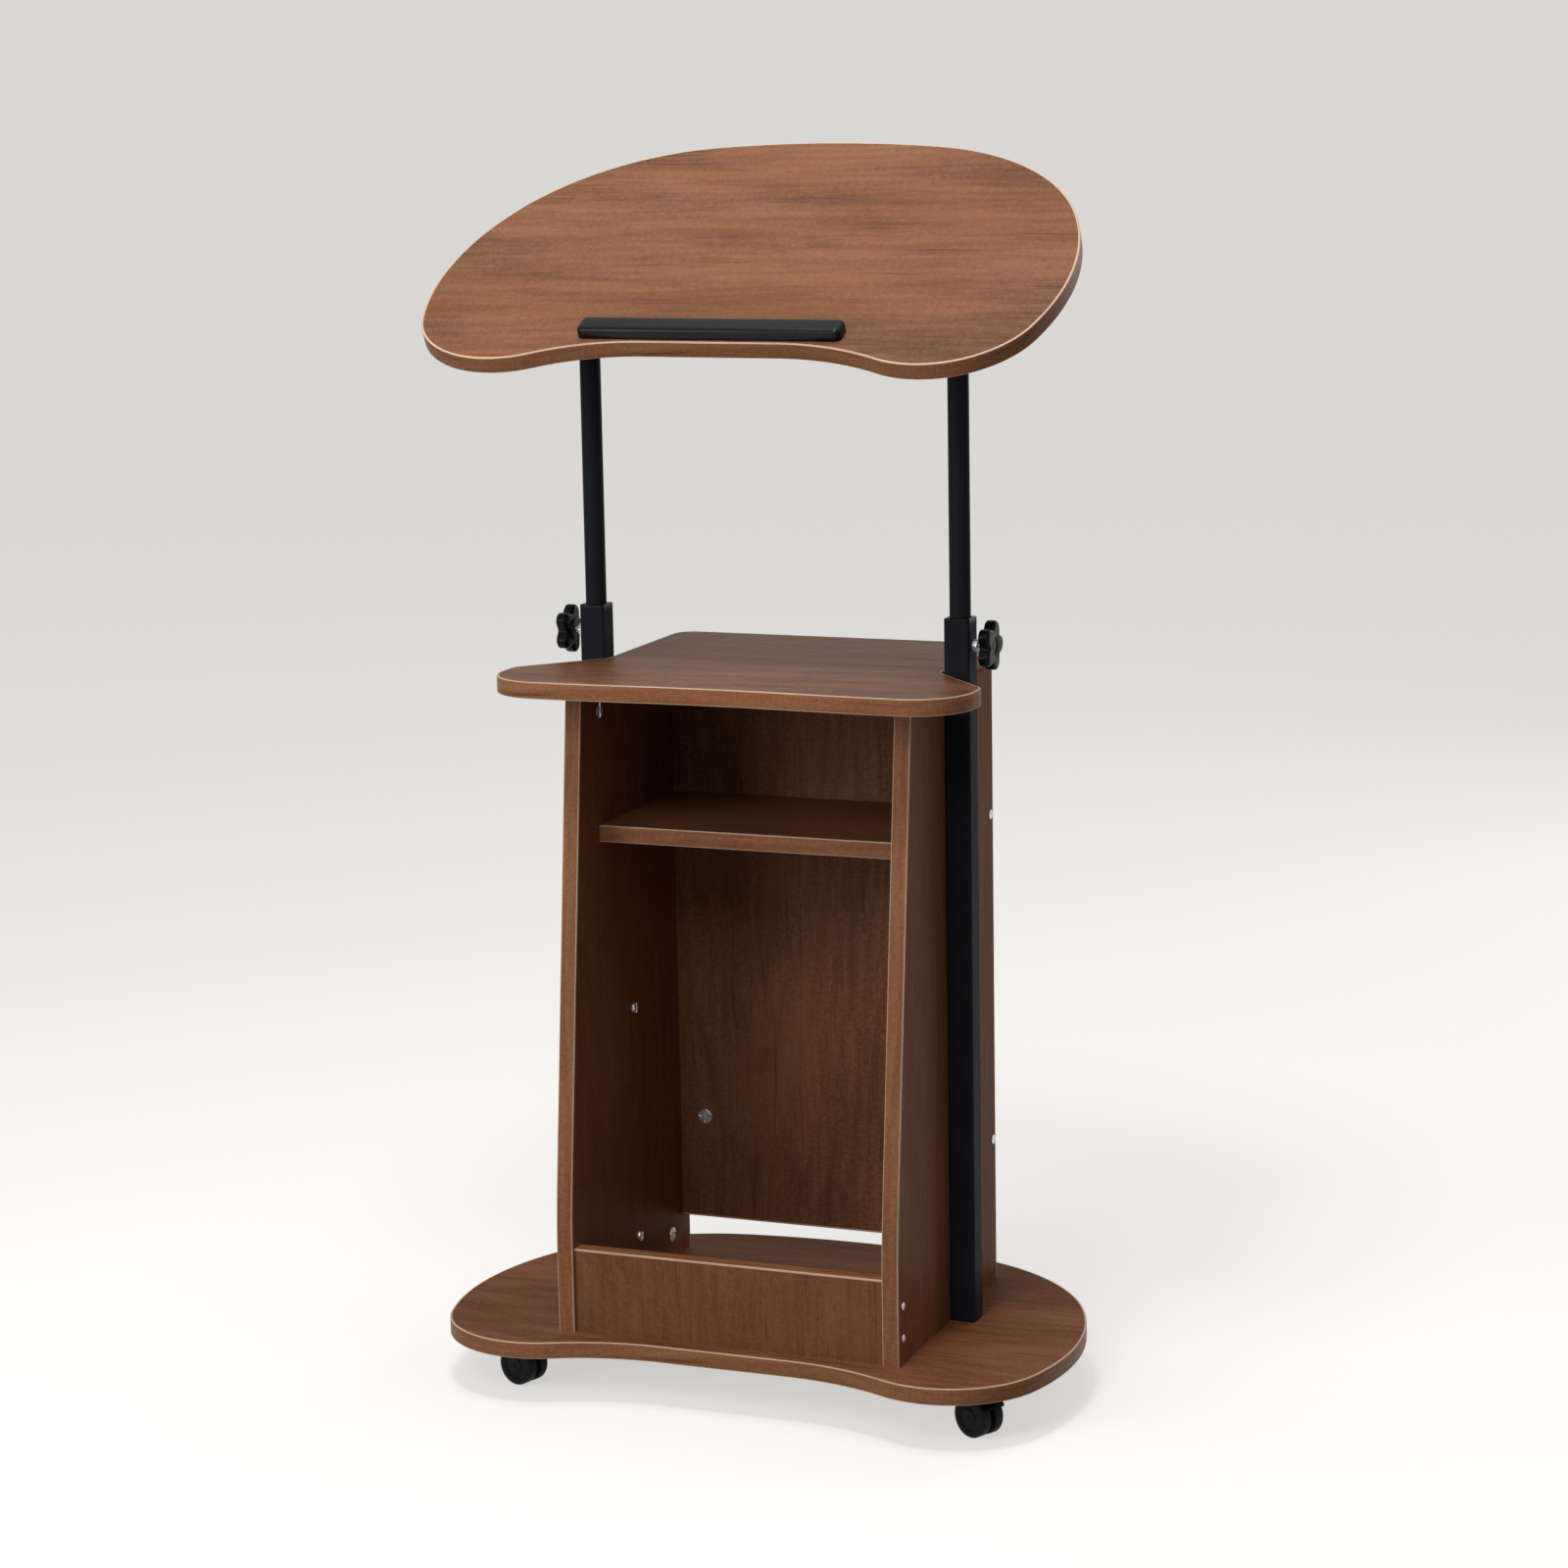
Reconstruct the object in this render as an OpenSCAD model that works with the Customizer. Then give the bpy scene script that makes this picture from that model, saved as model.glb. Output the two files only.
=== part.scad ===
// Rolling lectern with a tilting, height-adjustable desk.
// The origin is on the floor, under the middle of the base board. +Y is the back, +Z is up.
// The desk is drawn at the height and the tilt at which it rests.

/* [Boards] */
// Thickness of every board
board_t = 16; // [12:0.5:22]
// Thickness of the edge band
band_t = 1; // [0.6:0.1:2]
// Width of the base board and of the desk
bean_w = 620; // [560:5:720]
// Depth of the base board and of the desk
bean_d = 400; // [380:5:460]

/* [Cabinet] */
// Width over the two side panels
cab_w = 345; // [300:5:380]
// Height of the side panels
panel_h = 614; // [560:2:700]
// Depth of the side panels at the bottom
panel_d = 290; // [270:5:320]
// Set-back of the side panels' front edge from the base board's middle
panel_front = 156; // [140:1:165]
// Lean of the side panels' front edge, in degrees
front_lean = 6.2; // [3:0.1:8]
// Height of the upright part of that edge
front_straight = 75; // [40:5:120]
// Radius between the upright part and the leaning part
front_bend_r = 650; // [300:10:800]
// Height of the kick board
kick_h = 82; // [60:1:110]
// Set-back of the kick board behind the side panels
kick_setback = 5; // [3:0.5:12]
// Set-back of the back panel from the side panels' rear edges
back_setback = 1; // [0.5:0.5:20]
// Gap between the back panel and the base board
back_gap = 39; // [20:1:60]
// Height of the inner shelf's top over the base board
inner_shelf_z = 478; // [380:2:520]
// Set-back of the inner shelf's front edge from the bottom of the side panels' front edge
inner_shelf_setback = 88; // [75:1:120]
// Diameter of the pins under the inner shelf
shelf_pin_d = 5; // [4:0.5:6]

/* [Mid shelf] */
// Width of the mid shelf from tip to tip
shelf_w = 470; // [450:5:520]
// Depth of the mid shelf
shelf_d = 335; // [325:5:350]
// Set-back of the mid shelf's front edge from the base board's middle
shelf_front = 161; // [156:1:170]
// Gap between the rear part of the mid shelf and each post
shelf_side_gap = 3.5; // [2:0.5:6]
// Angle of the wings' rear edges, in degrees
wing_angle = 48; // [40:1:55]
// Radius of the mid shelf's rear corners
shelf_rear_r = 20; // [8:1:30]
// Radius of the notch at each post
notch_r = 14; // [10:1:18]
// Radius of the wing tips
tip_r = 24; // [16:1:28]
// Radius of the wings' front corners
wing_front_r = 55; // [40:1:60]
// Depth of the shallow hollow in the mid shelf's front edge
shelf_hollow = 6; // [2:0.5:10]

/* [Posts] */
// Side of the square posts
post_w = 25; // [24:0.5:30]
// Wall of the square posts
post_wall = 1.5; // [1:0.1:2]
// Radius of the square posts' corners
post_corner_r = 2.5; // [2:0.1:3]
// Height of the post tubes over the mid shelf
post_over_shelf = 47; // [30:1:130]
// Place of the posts' centre behind the base board's middle
post_y = 4; // [-10:1:15]
// Thickness of the collar's rim on the post
collar_rim = 4; // [3:0.5:8]
// Length of the collar's sleeve inside the post
collar_depth = 40; // [34:1:60]
// Height of the lower post bolt over the base board
bolt_low_z = 49; // [35:1:90]
// Height of the upper post bolt over the base board
bolt_high_z = 282; // [200:2:330]
// Diameter of the post bolts
bolt_d = 6; // [5:0.5:8]

/* [Lift frame] */
// Diameter of the lift frame's tube
lift_d = 20; // [18:0.5:20.5]
// Wall of the lift frame's tube
lift_wall = 1.5; // [1:0.1:2.5]
// Height of the lift frame's cross bar over the posts
lift_out = 292; // [255:1:315]
// Radius of the two bends, at the tube's middle
bend_r = 45; // [35:1:50]
// Length of leg that stays inside the posts
leg_hold = 141; // [110:1:170]

/* [Desk] */
// Tilt of the desk, in degrees
tilt = 27; // [0:1:45]
// Distance from the cross bar's axis to the desk's underside
bar_drop = 32; // [26:1:40]
// Distance that the desk's middle lies behind the cross bar
desk_shift = 14; // [0:1:30]
// Length of the book stop
stop_l = 256; // [180:2:300]
// Depth of the book stop
stop_d = 23; // [16:1:28]
// Height of the book stop
stop_h = 11; // [8:0.5:18]
// Distance from the desk's front edge to the book stop
stop_setback = 4; // [2:0.5:12]
// Distance between the two hinge saddles
saddle_pitch = 220; // [140:5:240]
// Width of a hinge saddle
saddle_w = 32; // [24:1:44]
// Thickness of a hinge saddle's steel
saddle_t = 3; // [2:0.5:4]

/* [Hand knobs] */
// Distance of the post knobs below the posts' tops
knob_below = 26; // [24:1:40]
// Diameter of the post knobs
knob_d = 48; // [38:1:56]
// Thickness of the post knobs' heads
knob_t = 11; // [9:0.5:18]
// Distance from the post's face to the post knobs
knob_gap = 4.5; // [4.3:0.1:10]
// Diameter of the knobs' studs
stud_d = 6; // [5:0.5:8]
// Diameter of the tilt knobs
tilt_knob_d = 34; // [28:1:40]

/* [Casters] */
// Height of the casters, from the floor to the base board
caster_h = 48; // [45:0.5:56]
// Diameter of the caster wheels
wheel_d = 40; // [36:0.5:42]
// Width of one caster wheel
wheel_w = 11; // [8:0.5:14]
// Distance between the swivel axis and the axle
trail = 11; // [9:0.5:20]
// Distance between the two front casters
front_caster_pitch = 466; // [400:2:500]
// Distance between the two rear casters
rear_caster_pitch = 410; // [340:5:440]
// Place of the front casters in front of the base board's middle
front_caster_y = 128; // [110:1:140]
// Place of the rear casters behind the base board's middle
rear_caster_y = 109; // [90:1:120]
// Side of the casters' square plates
plate_w = 38; // [36:1:44]

/* [Hidden] */
$fn = 48;

// Colours of the finishes
walnut = [0.42, 0.26, 0.17];
cream = [0.66, 0.50, 0.40];
black_steel = [0.09, 0.09, 0.10];
black_plastic = [0.05, 0.05, 0.06];
zinc = [0.72, 0.73, 0.74];
nylon = [0.85, 0.84, 0.80];

// Running gap round a shaft, gap round a pressed-in plug, gap between pieces on different bodies,
// and overshoot of a cut
run = 0.05;
press = 0.1;
clear = 0.3;
cut = 1;

// Heights over the floor
base_top = caster_h + board_t;
shelf_z = base_top + panel_h;
post_h = panel_h + board_t + post_over_shelf;
post_top = base_top + post_h + collar_rim;
bar_z = post_top + lift_out;
knob_z = post_top - knob_below;

// Places across and along the cabinet
panel_in = cab_w/2 - board_t;
panel_back = panel_d - panel_front;
back_face = panel_back - back_setback - board_t;
post_x = cab_w/2 + post_w/2;
post_in = post_w/2 - post_wall;
leg_r = lift_d/2;
leg_end_z = post_top - leg_hold;
kick_y = kick_setback - panel_front;
inner_shelf_y = inner_shelf_setback - panel_front;

// The cams: the disc, its distance from the joint, its bolt, and its place from the panels' front
// and rear edges or over the base board
cam_d = 15;
cam_t = 12;
cam_reach = 26;
cam_bolt_d = 6;
cam_proud = 0.3;
cam_front_low = 50;
cam_front_high = 97;
cam_rear = 46;
cam_back_low = 144;
cam_rear_y = panel_back - cam_rear;
cam_low_y = [cam_front_low - panel_front, cam_rear_y];
cam_high_y = [cam_front_high - panel_front, cam_rear_y];
cam_back_z = [cam_back_low, inner_shelf_z - board_t/2];

// The screws that hold the kick board
kick_screw_low = 25;
kick_screw_high = 56;
kick_screw_z = [kick_screw_low, kick_screw_high];
kick_screw_d = 5;
kick_screw_l = 48;

// Shape of the base board and the desk: the radius and the turn of each arc, from the middle of
// the rear edge to the start of the front hollow
bean_arcs = [[780, 8.4], [224, 56.2], [277, 42], [95, 98.4], [240, -25]];

// Longest step along an arc, by its length and by its angle
arc_step = 8;
arc_step_angle = 9;

// Points of a path that starts at a place with a heading, and turns right along each arc by its
// angle, or left where the angle is negative. An arc with radius 0 is a straight length.
function path(p, h, arcs, i = 0) =
    i >= len(arcs) ? [] :
    let(r = arcs[i][0], t = arcs[i][1], s = t > 0 ? 1 : -1,
        n = r == 0 ? 1 : ceil(abs(t)*max(r*PI/180/arc_step, 1/arc_step_angle)),
        c = [p[0] + s*r*sin(h), p[1] - s*r*cos(h)],
        run_to = [for (k = [1 : n]) r == 0 ? [p[0] + t*cos(h), p[1] + t*sin(h)]
                  : let(a = h - t*k/n) [c[0] - s*r*sin(a), c[1] + s*r*cos(a)]],
        h_end = r == 0 ? h : h - t)
    concat(run_to, path(run_to[n - 1], h_end, arcs, i + 1));

// A right-hand half outline joined to its mirror image
function both_halves(half) =
    concat(half, [for (i = [len(half) - 1 : -1 : 0]) if (abs(half[i][0]) > 0.001)
                  [-half[i][0], half[i][1]]]);

// The base board's and the desk's outline, brought to its width and depth
bean_half = concat([[0, 0]], path([0, 0], 0, bean_arcs));
bean_reach = max([for (p = bean_half) p[0]]);
bean_low = min([for (p = bean_half) p[1]]);
function bean(w, d) =
    both_halves([for (p = bean_half) [p[0]*w/2/bean_reach, d/2 - p[1]*d/bean_low]]);

// Gap between a post's front face and the start of a wing's rear edge
notch_clear = 4;

// The mid shelf's outline, drawn in by an inset all round
function shelf_outline(inset) =
    let(neck = cab_w/2 - shelf_side_gap - inset,
        rear = shelf_d - shelf_front - inset,
        rr = shelf_rear_r - inset,
        nr = notch_r + inset,
        tr = tip_r - inset,
        fr = wing_front_r - inset,
        turn = 90 - wing_angle,
        notch_y = post_y - post_w/2 - notch_clear + notch_r*sin(turn),
        slant_x = neck + nr*(1 - cos(turn)),
        slant_y = notch_y - nr*sin(turn),
        tip_cx = shelf_w/2 - tip_r,
        slant_l = (tip_cx + tr*sin(wing_angle) - slant_x)/cos(wing_angle),
        tip_cy = slant_y - slant_l*sin(wing_angle) - tr*cos(wing_angle),
        front_half = shelf_w/2 - wing_front_r,
        bend = 2*atan(shelf_hollow/front_half),
        hollow_r = front_half/2/sin(bend))
    both_halves(concat([[0, rear]],
        path([neck - rr, rear], 0, [[rr, 90]]),
        path([neck, notch_y], -90, [[nr, -turn], [0, slant_l], [tr, turn]]),
        path([shelf_w/2 - inset, wing_front_r - shelf_front], -90, [[fr, 90]]),
        path([front_half, inset - shelf_front], 180,
             [[hollow_r - inset, bend], [hollow_r + inset, -bend]])));

// Side view of a side panel, from the base board up, drawn in by an inset front and back
function panel_side(inset) =
    let(front = path([-panel_front + inset, 0], 90,
                     [[0, front_straight], [front_bend_r, front_lean]]),
        last = front[len(front) - 1],
        rise = panel_h - last[1])
    concat([[-panel_front + inset, 0]], front,
           [[last[0] + rise*tan(front_lean), panel_h], [panel_back - inset, panel_h],
            [panel_back - inset, 0]]);

// Shared shapes

// A solid along X, centred on x = 0
module along_x(l) { rotate([0, 90, 0]) translate([0, 0, -l/2]) children(); }

// A cylinder along X from x = 0
module rod_x(d, l) { rotate([0, 90, 0]) cylinder(d = d, h = l); }

// A screw along +Z from z = 0, with a tapered head below
module screw_z(d, l, head_d, head_t) {
    cylinder(d = d - 2*run, h = l);
    translate([0, 0, -head_t]) cylinder(d1 = 0.65*head_d, d2 = head_d, h = head_t);
}

// A cross recess for a head whose face is at x = 0 and looks along -X
module cross_recess(l, w, depth) {
    for (a = [0, 90]) rotate([a, 0, 0]) translate([-cut, -l/2, -w/2]) cube([cut + depth, l, w]);
}

// Places a child at the left and at the right, with the child's +X side outwards
module left_right() { children(); mirror([1, 0, 0]) children(); }

// A bar along X, standing on z = 0, with round corners in plan and rounded upper edges
module soft_bar(l, d, h, corner_r, r) {
    hull() {
        for (x = [-1, 1]) for (y = [-1, 1])
            translate([x*(l/2 - corner_r), y*(d/2 - corner_r), 0]) {
                cylinder(r = corner_r, h = h - r, $fn = 32);
                cylinder(r = corner_r - r, h = h, $fn = 32);
            }
    }
}

// Outline of a knob with round lobes, one of them at the top
function lobed(d, depth, lobes) =
    [for (k = [0 : 18*lobes - 1]) let(a = 90 + k*20/lobes, wave = (1 - cos(20*k))/2,
                                      r = d/2 - depth*pow(wave, 1.4)) [r*cos(a), r*sin(a)]];

// A five-lobed knob head on z = 0, with its hub towards -Z
module star_head(d, t, hub_d, hub_l, bore_d, bore_depth) {
    lobes = 5;
    depth = 0.15*d;
    edge = 1;
    difference() {
        union() {
            linear_extrude(t) polygon(lobed(d - 2*edge, depth, lobes));
            translate([0, 0, edge]) linear_extrude(t - 2*edge) polygon(lobed(d, depth, lobes));
            translate([0, 0, -hub_l]) cylinder(d = hub_d, h = hub_l + t/2);
        }
        translate([0, 0, -hub_l - cut]) cylinder(d = bore_d, h = bore_depth + cut);
    }
}

// Boards of the cabinet

module base_board() {
    color(walnut) difference() {
        translate([0, 0, caster_h]) linear_extrude(board_t)
            polygon(bean(bean_w - 2*band_t, bean_d - 2*band_t));
        for (c = casters) translate([c[1], c[2], caster_h])
            plate_holes() translate([0, 0, -cut]) cylinder(d = plate_screw_d, h = plate_screw_l + cut);
        for (y = cam_low_y) left_right() translate([panel_in + board_t/2, y, base_top - cam_bolt_in])
            cylinder(d = cam_bolt_d, h = cam_bolt_in + cut);
    }
}

module bean_band(z0) {
    translate([0, 0, z0]) linear_extrude(board_t) difference() {
        polygon(bean(bean_w, bean_d));
        polygon(bean(bean_w - 2*band_t, bean_d - 2*band_t));
    }
}

module base_edge_band() { color(walnut) bean_band(caster_h); }

// A cam's pocket and its bolt's hole, for a cam at the origin that faces -X and pulls towards -Z
module cam_pocket() {
    translate([-cut, 0, 0]) rod_x(cam_d, cam_t + cut);
    translate([board_t/2, 0, -cam_reach - cut]) cylinder(d = cam_bolt_d, h = cam_reach + cut);
}

module side_panel_right_solid() {
    difference() {
        translate([panel_in, 0, base_top]) rotate([90, 0, 90]) linear_extrude(board_t)
            polygon(panel_side(band_t));
        for (y = cam_low_y) translate([panel_in, y, base_top + cam_reach]) cam_pocket();
        for (y = cam_high_y) translate([panel_in, y, shelf_z - cam_reach])
            mirror([0, 0, 1]) cam_pocket();
        for (z = cam_back_z) translate([panel_in - cut, back_face + board_t/2, base_top + z])
            rod_x(cam_bolt_d, board_t + 2*cut);
        for (z = kick_screw_z) translate([panel_in - cut, kick_y + board_t/2, base_top + z])
            rod_x(kick_screw_d, board_t + 2*cut);
        for (z = [bolt_low_z, bolt_high_z]) translate([panel_in - cut, post_y, base_top + z])
            rod_x(bolt_d, board_t + 2*cut);
        for (y = shelf_pin_y) translate([panel_in - cut, y, shelf_pin_z])
            rod_x(shelf_pin_d, shelf_pin_in + cut);
    }
}

module side_panel_left() { color(walnut) mirror([1, 0, 0]) side_panel_right_solid(); }
module side_panel_right() { color(walnut) side_panel_right_solid(); }

module kick_board() {
    color(walnut) difference() {
        translate([-panel_in, kick_y, base_top]) cube([2*panel_in, board_t, kick_h - band_t]);
        for (z = kick_screw_z) left_right()
            translate([panel_in - kick_screw_l + board_t, kick_y + board_t/2, base_top + z])
                rod_x(kick_screw_d, kick_screw_l);
    }
}

module back_panel() {
    color(walnut) difference() {
        translate([-panel_in, back_face, base_top + back_gap + band_t])
            cube([2*panel_in, board_t, panel_h - back_gap - band_t]);
        for (z = cam_back_z) left_right() {
            translate([panel_in - cam_reach, back_face - cut, base_top + z])
                rotate([-90, 0, 0]) cylinder(d = cam_d, h = cam_t + cut);
            translate([panel_in - cam_reach, back_face + board_t/2, base_top + z])
                rod_x(cam_bolt_d, cam_reach + cut);
        }
    }
}

// The inner shelf lies on four pins
shelf_pin_in = 9;
shelf_pin_out = 8;
shelf_pin_inset = 30;
shelf_pin_y = [inner_shelf_y + shelf_pin_inset, back_face - shelf_pin_inset];
shelf_pin_z = base_top + inner_shelf_z - board_t - shelf_pin_d/2;
shelf_gap = 0.5;

module inner_shelf() {
    color(walnut) translate([-panel_in + shelf_gap, inner_shelf_y + band_t,
                             base_top + inner_shelf_z - board_t])
        cube([2*(panel_in - shelf_gap), back_face - shelf_gap - inner_shelf_y - band_t, board_t]);
}

module shelf_pins() {
    color(zinc) left_right() for (y = shelf_pin_y)
        translate([panel_in - shelf_pin_out, y, shelf_pin_z])
            rod_x(shelf_pin_d, shelf_pin_in + shelf_pin_out);
}

module mid_shelf() {
    color(walnut) difference() {
        translate([0, 0, shelf_z]) linear_extrude(board_t) polygon(shelf_outline(band_t));
        for (y = cam_high_y) left_right() translate([panel_in + board_t/2, y, shelf_z - cut])
            cylinder(d = cam_bolt_d, h = cam_bolt_in + cut);
    }
}

module mid_shelf_edge_band() {
    color(walnut) translate([0, 0, shelf_z]) linear_extrude(board_t) difference() {
        polygon(shelf_outline(0));
        polygon(shelf_outline(band_t));
    }
}

module side_panel_bands() {
    translate([panel_in, 0, base_top]) rotate([90, 0, 90]) linear_extrude(board_t)
        difference() {
            polygon(panel_side(0));
            polygon([for (p = panel_side(band_t))
                     [p[0], p[1] <= 0 ? -cut : p[1] >= panel_h ? panel_h + cut : p[1]]]);
        }
}

module straight_edge_bands() {
    color(cream) {
        left_right() side_panel_bands();
        translate([-panel_in, kick_y, base_top + kick_h - band_t])
            cube([2*panel_in, board_t, band_t]);
        translate([-panel_in + shelf_gap, inner_shelf_y, base_top + inner_shelf_z - board_t])
            cube([2*(panel_in - shelf_gap), band_t, board_t]);
        translate([-panel_in, back_face, base_top + back_gap])
            cube([2*panel_in, board_t, band_t]);
    }
}

// Cams and their bolts. A bolt runs from the other board into the middle of the cam.
cam_bolt_in = 11;
cam_bolt_tip = 1.5;
cam_bolt_neck_d = 4;
cam_bolt_head_d = 9;
cam_bolt_head_t = 1.2;
cam_hole_d = 7;

module cam() {
    difference() {
        translate([-cam_proud, 0, 0]) rod_x(cam_d - 2*press, cam_t + cam_proud);
        translate([board_t/2, 0, -cam_d])
            cylinder(d = cam_hole_d, h = cam_d + cam_bolt_tip + clear);
        translate([-cam_proud, 0, 0]) cross_recess(8, 1.4, 1.5);
    }
}

// A cam bolt on the Z axis: z = 0 is the joint between the boards, the cam is towards +Z
module cam_bolt() {
    neck_z = cam_reach - cam_d/2;
    tip_l = 2.5;
    translate([0, 0, -cam_bolt_in]) cylinder(d = cam_bolt_d, h = cam_bolt_in + neck_z);
    translate([0, 0, neck_z - cut]) cylinder(d = cam_bolt_neck_d, h = cam_d/2 + cut);
    translate([0, 0, cam_reach + cam_bolt_tip - tip_l]) cylinder(d = cam_bolt_d, h = tip_l);
}

module cam_locks() {
    color(zinc) left_right() {
        for (y = cam_low_y) translate([panel_in, y, base_top + cam_reach]) cam();
        for (y = cam_high_y) translate([panel_in, y, shelf_z - cam_reach])
            mirror([0, 0, 1]) cam();
        for (z = cam_back_z) translate([panel_in - cam_reach, back_face, base_top + z])
            rotate([-90, 0, 90]) cam();
    }
}

module cam_bolts() {
    color(zinc) left_right() {
        for (y = cam_low_y) translate([panel_in + board_t/2, y, base_top]) cam_bolt();
        for (y = cam_high_y) translate([panel_in + board_t/2, y, shelf_z])
            mirror([0, 0, 1]) cam_bolt();
        for (z = cam_back_z) translate([panel_in, back_face + board_t/2, base_top + z])
            rotate([0, -90, 0]) through_cam_bolt();
    }
}

// A cam bolt that goes right through the side panel, with a flat head on its outer face
module through_cam_bolt() {
    cam_bolt();
    translate([0, 0, -board_t]) cylinder(d = cam_bolt_d, h = board_t - cam_bolt_in + cut);
    translate([0, 0, -board_t - cam_bolt_head_t])
        cylinder(d = cam_bolt_head_d, h = cam_bolt_head_t);
}

module kick_screws() {
    head_d = 7.5;
    head_t = 1;
    color(zinc) left_right() for (z = kick_screw_z)
        translate([cab_w/2 + head_t, kick_y + board_t/2, base_top + z]) mirror([1, 0, 0]) {
            translate([head_t, 0, 0]) rod_x(kick_screw_d, kick_screw_l);
            difference() {
                rod_x(head_d, head_t);
                cross_recess(3.6, 1, 0.6);
            }
        }
}

// Posts

module post_right_solid() {
    difference() {
        translate([post_x, post_y, base_top]) linear_extrude(post_h)
            square_round(post_w, post_corner_r);
        translate([post_x - post_in, post_y - post_in, base_top - cut])
            cube([2*post_in, 2*post_in, post_h + 2*cut]);
        for (z = [bolt_low_z, bolt_high_z])
            translate([post_x - post_w/2 - cut, post_y, base_top + z])
                rod_x(nut_body_d, post_wall + 2*cut);
        translate([post_x + post_in - cut, post_y, knob_z]) rod_x(nut_body_d, post_wall + 2*cut);
    }
}

module post_left() { color(black_steel) mirror([1, 0, 0]) post_right_solid(); }
module post_right() { color(black_steel) post_right_solid(); }

// A plastic collar: a rim on the post's end and a sleeve inside it that guides the leg. A window
// in the sleeve lets the knob's stud reach the leg.
module collar_right_solid() {
    sleeve_w = 2*post_in - 2*press;
    rim_step = 1;
    window_gap = 0.5;
    difference() {
        translate([post_x, post_y, post_top - collar_rim]) {
            linear_extrude(collar_rim - rim_step) square_round(post_w, post_corner_r);
            linear_extrude(collar_rim) square_round(post_w - 2*rim_step, post_corner_r - rim_step);
            translate([-sleeve_w/2, -sleeve_w/2, -collar_depth])
                cube([sleeve_w, sleeve_w, collar_depth]);
        }
        translate([post_x, post_y, post_top - collar_rim - collar_depth - cut])
            cylinder(r = leg_r + run, h = collar_rim + collar_depth + 2*cut);
        translate([post_x, post_y, knob_z]) rod_x(nut_body_d + 2*window_gap, post_w);
    }
}

// A square with true round corners
module square_round(w, r) {
    for (x = [-1, 1]) for (y = [-1, 1]) translate([x*(w/2 - r), y*(w/2 - r)]) circle(r = r);
    square([w, w - 2*r], center = true);
    square([w - 2*r, w], center = true);
}

module collar_left() { color(black_plastic) mirror([1, 0, 0]) collar_right_solid(); }
module collar_right() { color(black_plastic) collar_right_solid(); }

// Threaded inserts: the knobs have a hexagonal nut outside the post, the post bolts a rivet nut
// inside it
nut_body_d = 9;
nut_af = 10;
knob_nut_t = 4;
post_nut_d = 12;
post_nut_t = 2;
post_nut_in = 9;

module knob_nuts() {
    color(zinc) left_right() translate([post_x + post_w/2, post_y, knob_z]) difference() {
        union() {
            translate([-post_wall, 0, 0]) rod_x(nut_body_d - 2*run, post_wall + cut);
            rotate([0, 90, 0]) cylinder(d = nut_af/cos(30), h = knob_nut_t, $fn = 6);
        }
        translate([-post_w/2, 0, 0]) rod_x(stud_d + 2*run, post_w);
    }
}

module post_nuts() {
    color(zinc) left_right() for (z = [bolt_low_z, bolt_high_z])
        translate([post_x - post_w/2 + post_wall, post_y, base_top + z]) difference() {
            union() {
                translate([-post_wall, 0, 0]) rod_x(nut_body_d - 2*run, post_wall + post_nut_in);
                rod_x(post_nut_d, post_nut_t);
            }
            translate([-post_w, 0, 0]) rod_x(bolt_d + 2*run, 2*post_w);
        }
}

module post_bolts() {
    head_d = 11;
    head_top_d = 6.6;
    head_t = 3;
    bolt_l = board_t + post_wall + post_nut_in - cut;
    color(zinc) left_right() for (z = [bolt_low_z, bolt_high_z])
        translate([panel_in, post_y, base_top + z]) {
            rod_x(bolt_d - 2*run, bolt_l);
            difference() {
                rotate([0, -90, 0]) cylinder(d1 = head_d, d2 = head_top_d, h = head_t);
                translate([-head_t, 0, 0]) cross_recess(5, 1.2, 1.6);
            }
        }
}

// Lift frame: two legs and the cross bar, one bent tube

module tube_section() {
    difference() {
        circle(r = leg_r);
        circle(r = leg_r - lift_wall);
    }
}

module lift_frame() {
    leg_top = bar_z - bend_r;
    bar_half = post_x - bend_r;
    color(black_steel) {
        left_right() {
            translate([post_x, post_y, leg_end_z]) linear_extrude(leg_top - leg_end_z)
                tube_section();
            translate([bar_half, post_y, leg_top]) rotate([90, 0, 0])
                rotate_extrude(angle = 90) translate([bend_r, 0]) tube_section();
        }
        translate([0, post_y, bar_z]) along_x(2*bar_half) linear_extrude(2*bar_half)
            tube_section();
    }
}

// Plastic glides that centre the legs' lower ends in the posts
module leg_glides() {
    glide_w = 2*post_in - 2*clear;
    glide_h = 6;
    plug_l = 22;
    color(black_plastic) left_right() translate([post_x, post_y, leg_end_z]) {
        translate([-glide_w/2, -glide_w/2, -glide_h]) cube([glide_w, glide_w, glide_h]);
        cylinder(r = leg_r - lift_wall - run, h = plug_l);
    }
}

// Post knobs

knob_hub_d = 20;
knob_hub_l = 6.5;
stud_in_knob = 12;
stud_end_gap = 0.5;

module knob_place() {
    translate([post_x + post_w/2 + knob_gap, post_y, knob_z]) rotate([0, 90, 0]) children();
}

module star_knob_solid() {
    knob_place() translate([0, 0, knob_hub_l])
        star_head(knob_d, knob_t, knob_hub_d, knob_hub_l, stud_d + 2*run, stud_in_knob);
}

module knob_stud_solid() {
    tip = post_w/2 + knob_gap - leg_r - clear;
    knob_place() translate([0, 0, -tip]) cylinder(d = stud_d, h = tip + stud_in_knob - stud_end_gap);
}

module star_knob_left() { color(black_plastic) mirror([1, 0, 0]) star_knob_solid(); }
module knob_stud_left() { color(zinc) mirror([1, 0, 0]) knob_stud_solid(); }
module star_knob_right() { color(black_plastic) star_knob_solid(); }
module knob_stud_right() { color(zinc) knob_stud_solid(); }

// Desk. Its pieces are drawn flat, with the cross bar's axis as X, and tilted into place.

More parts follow.
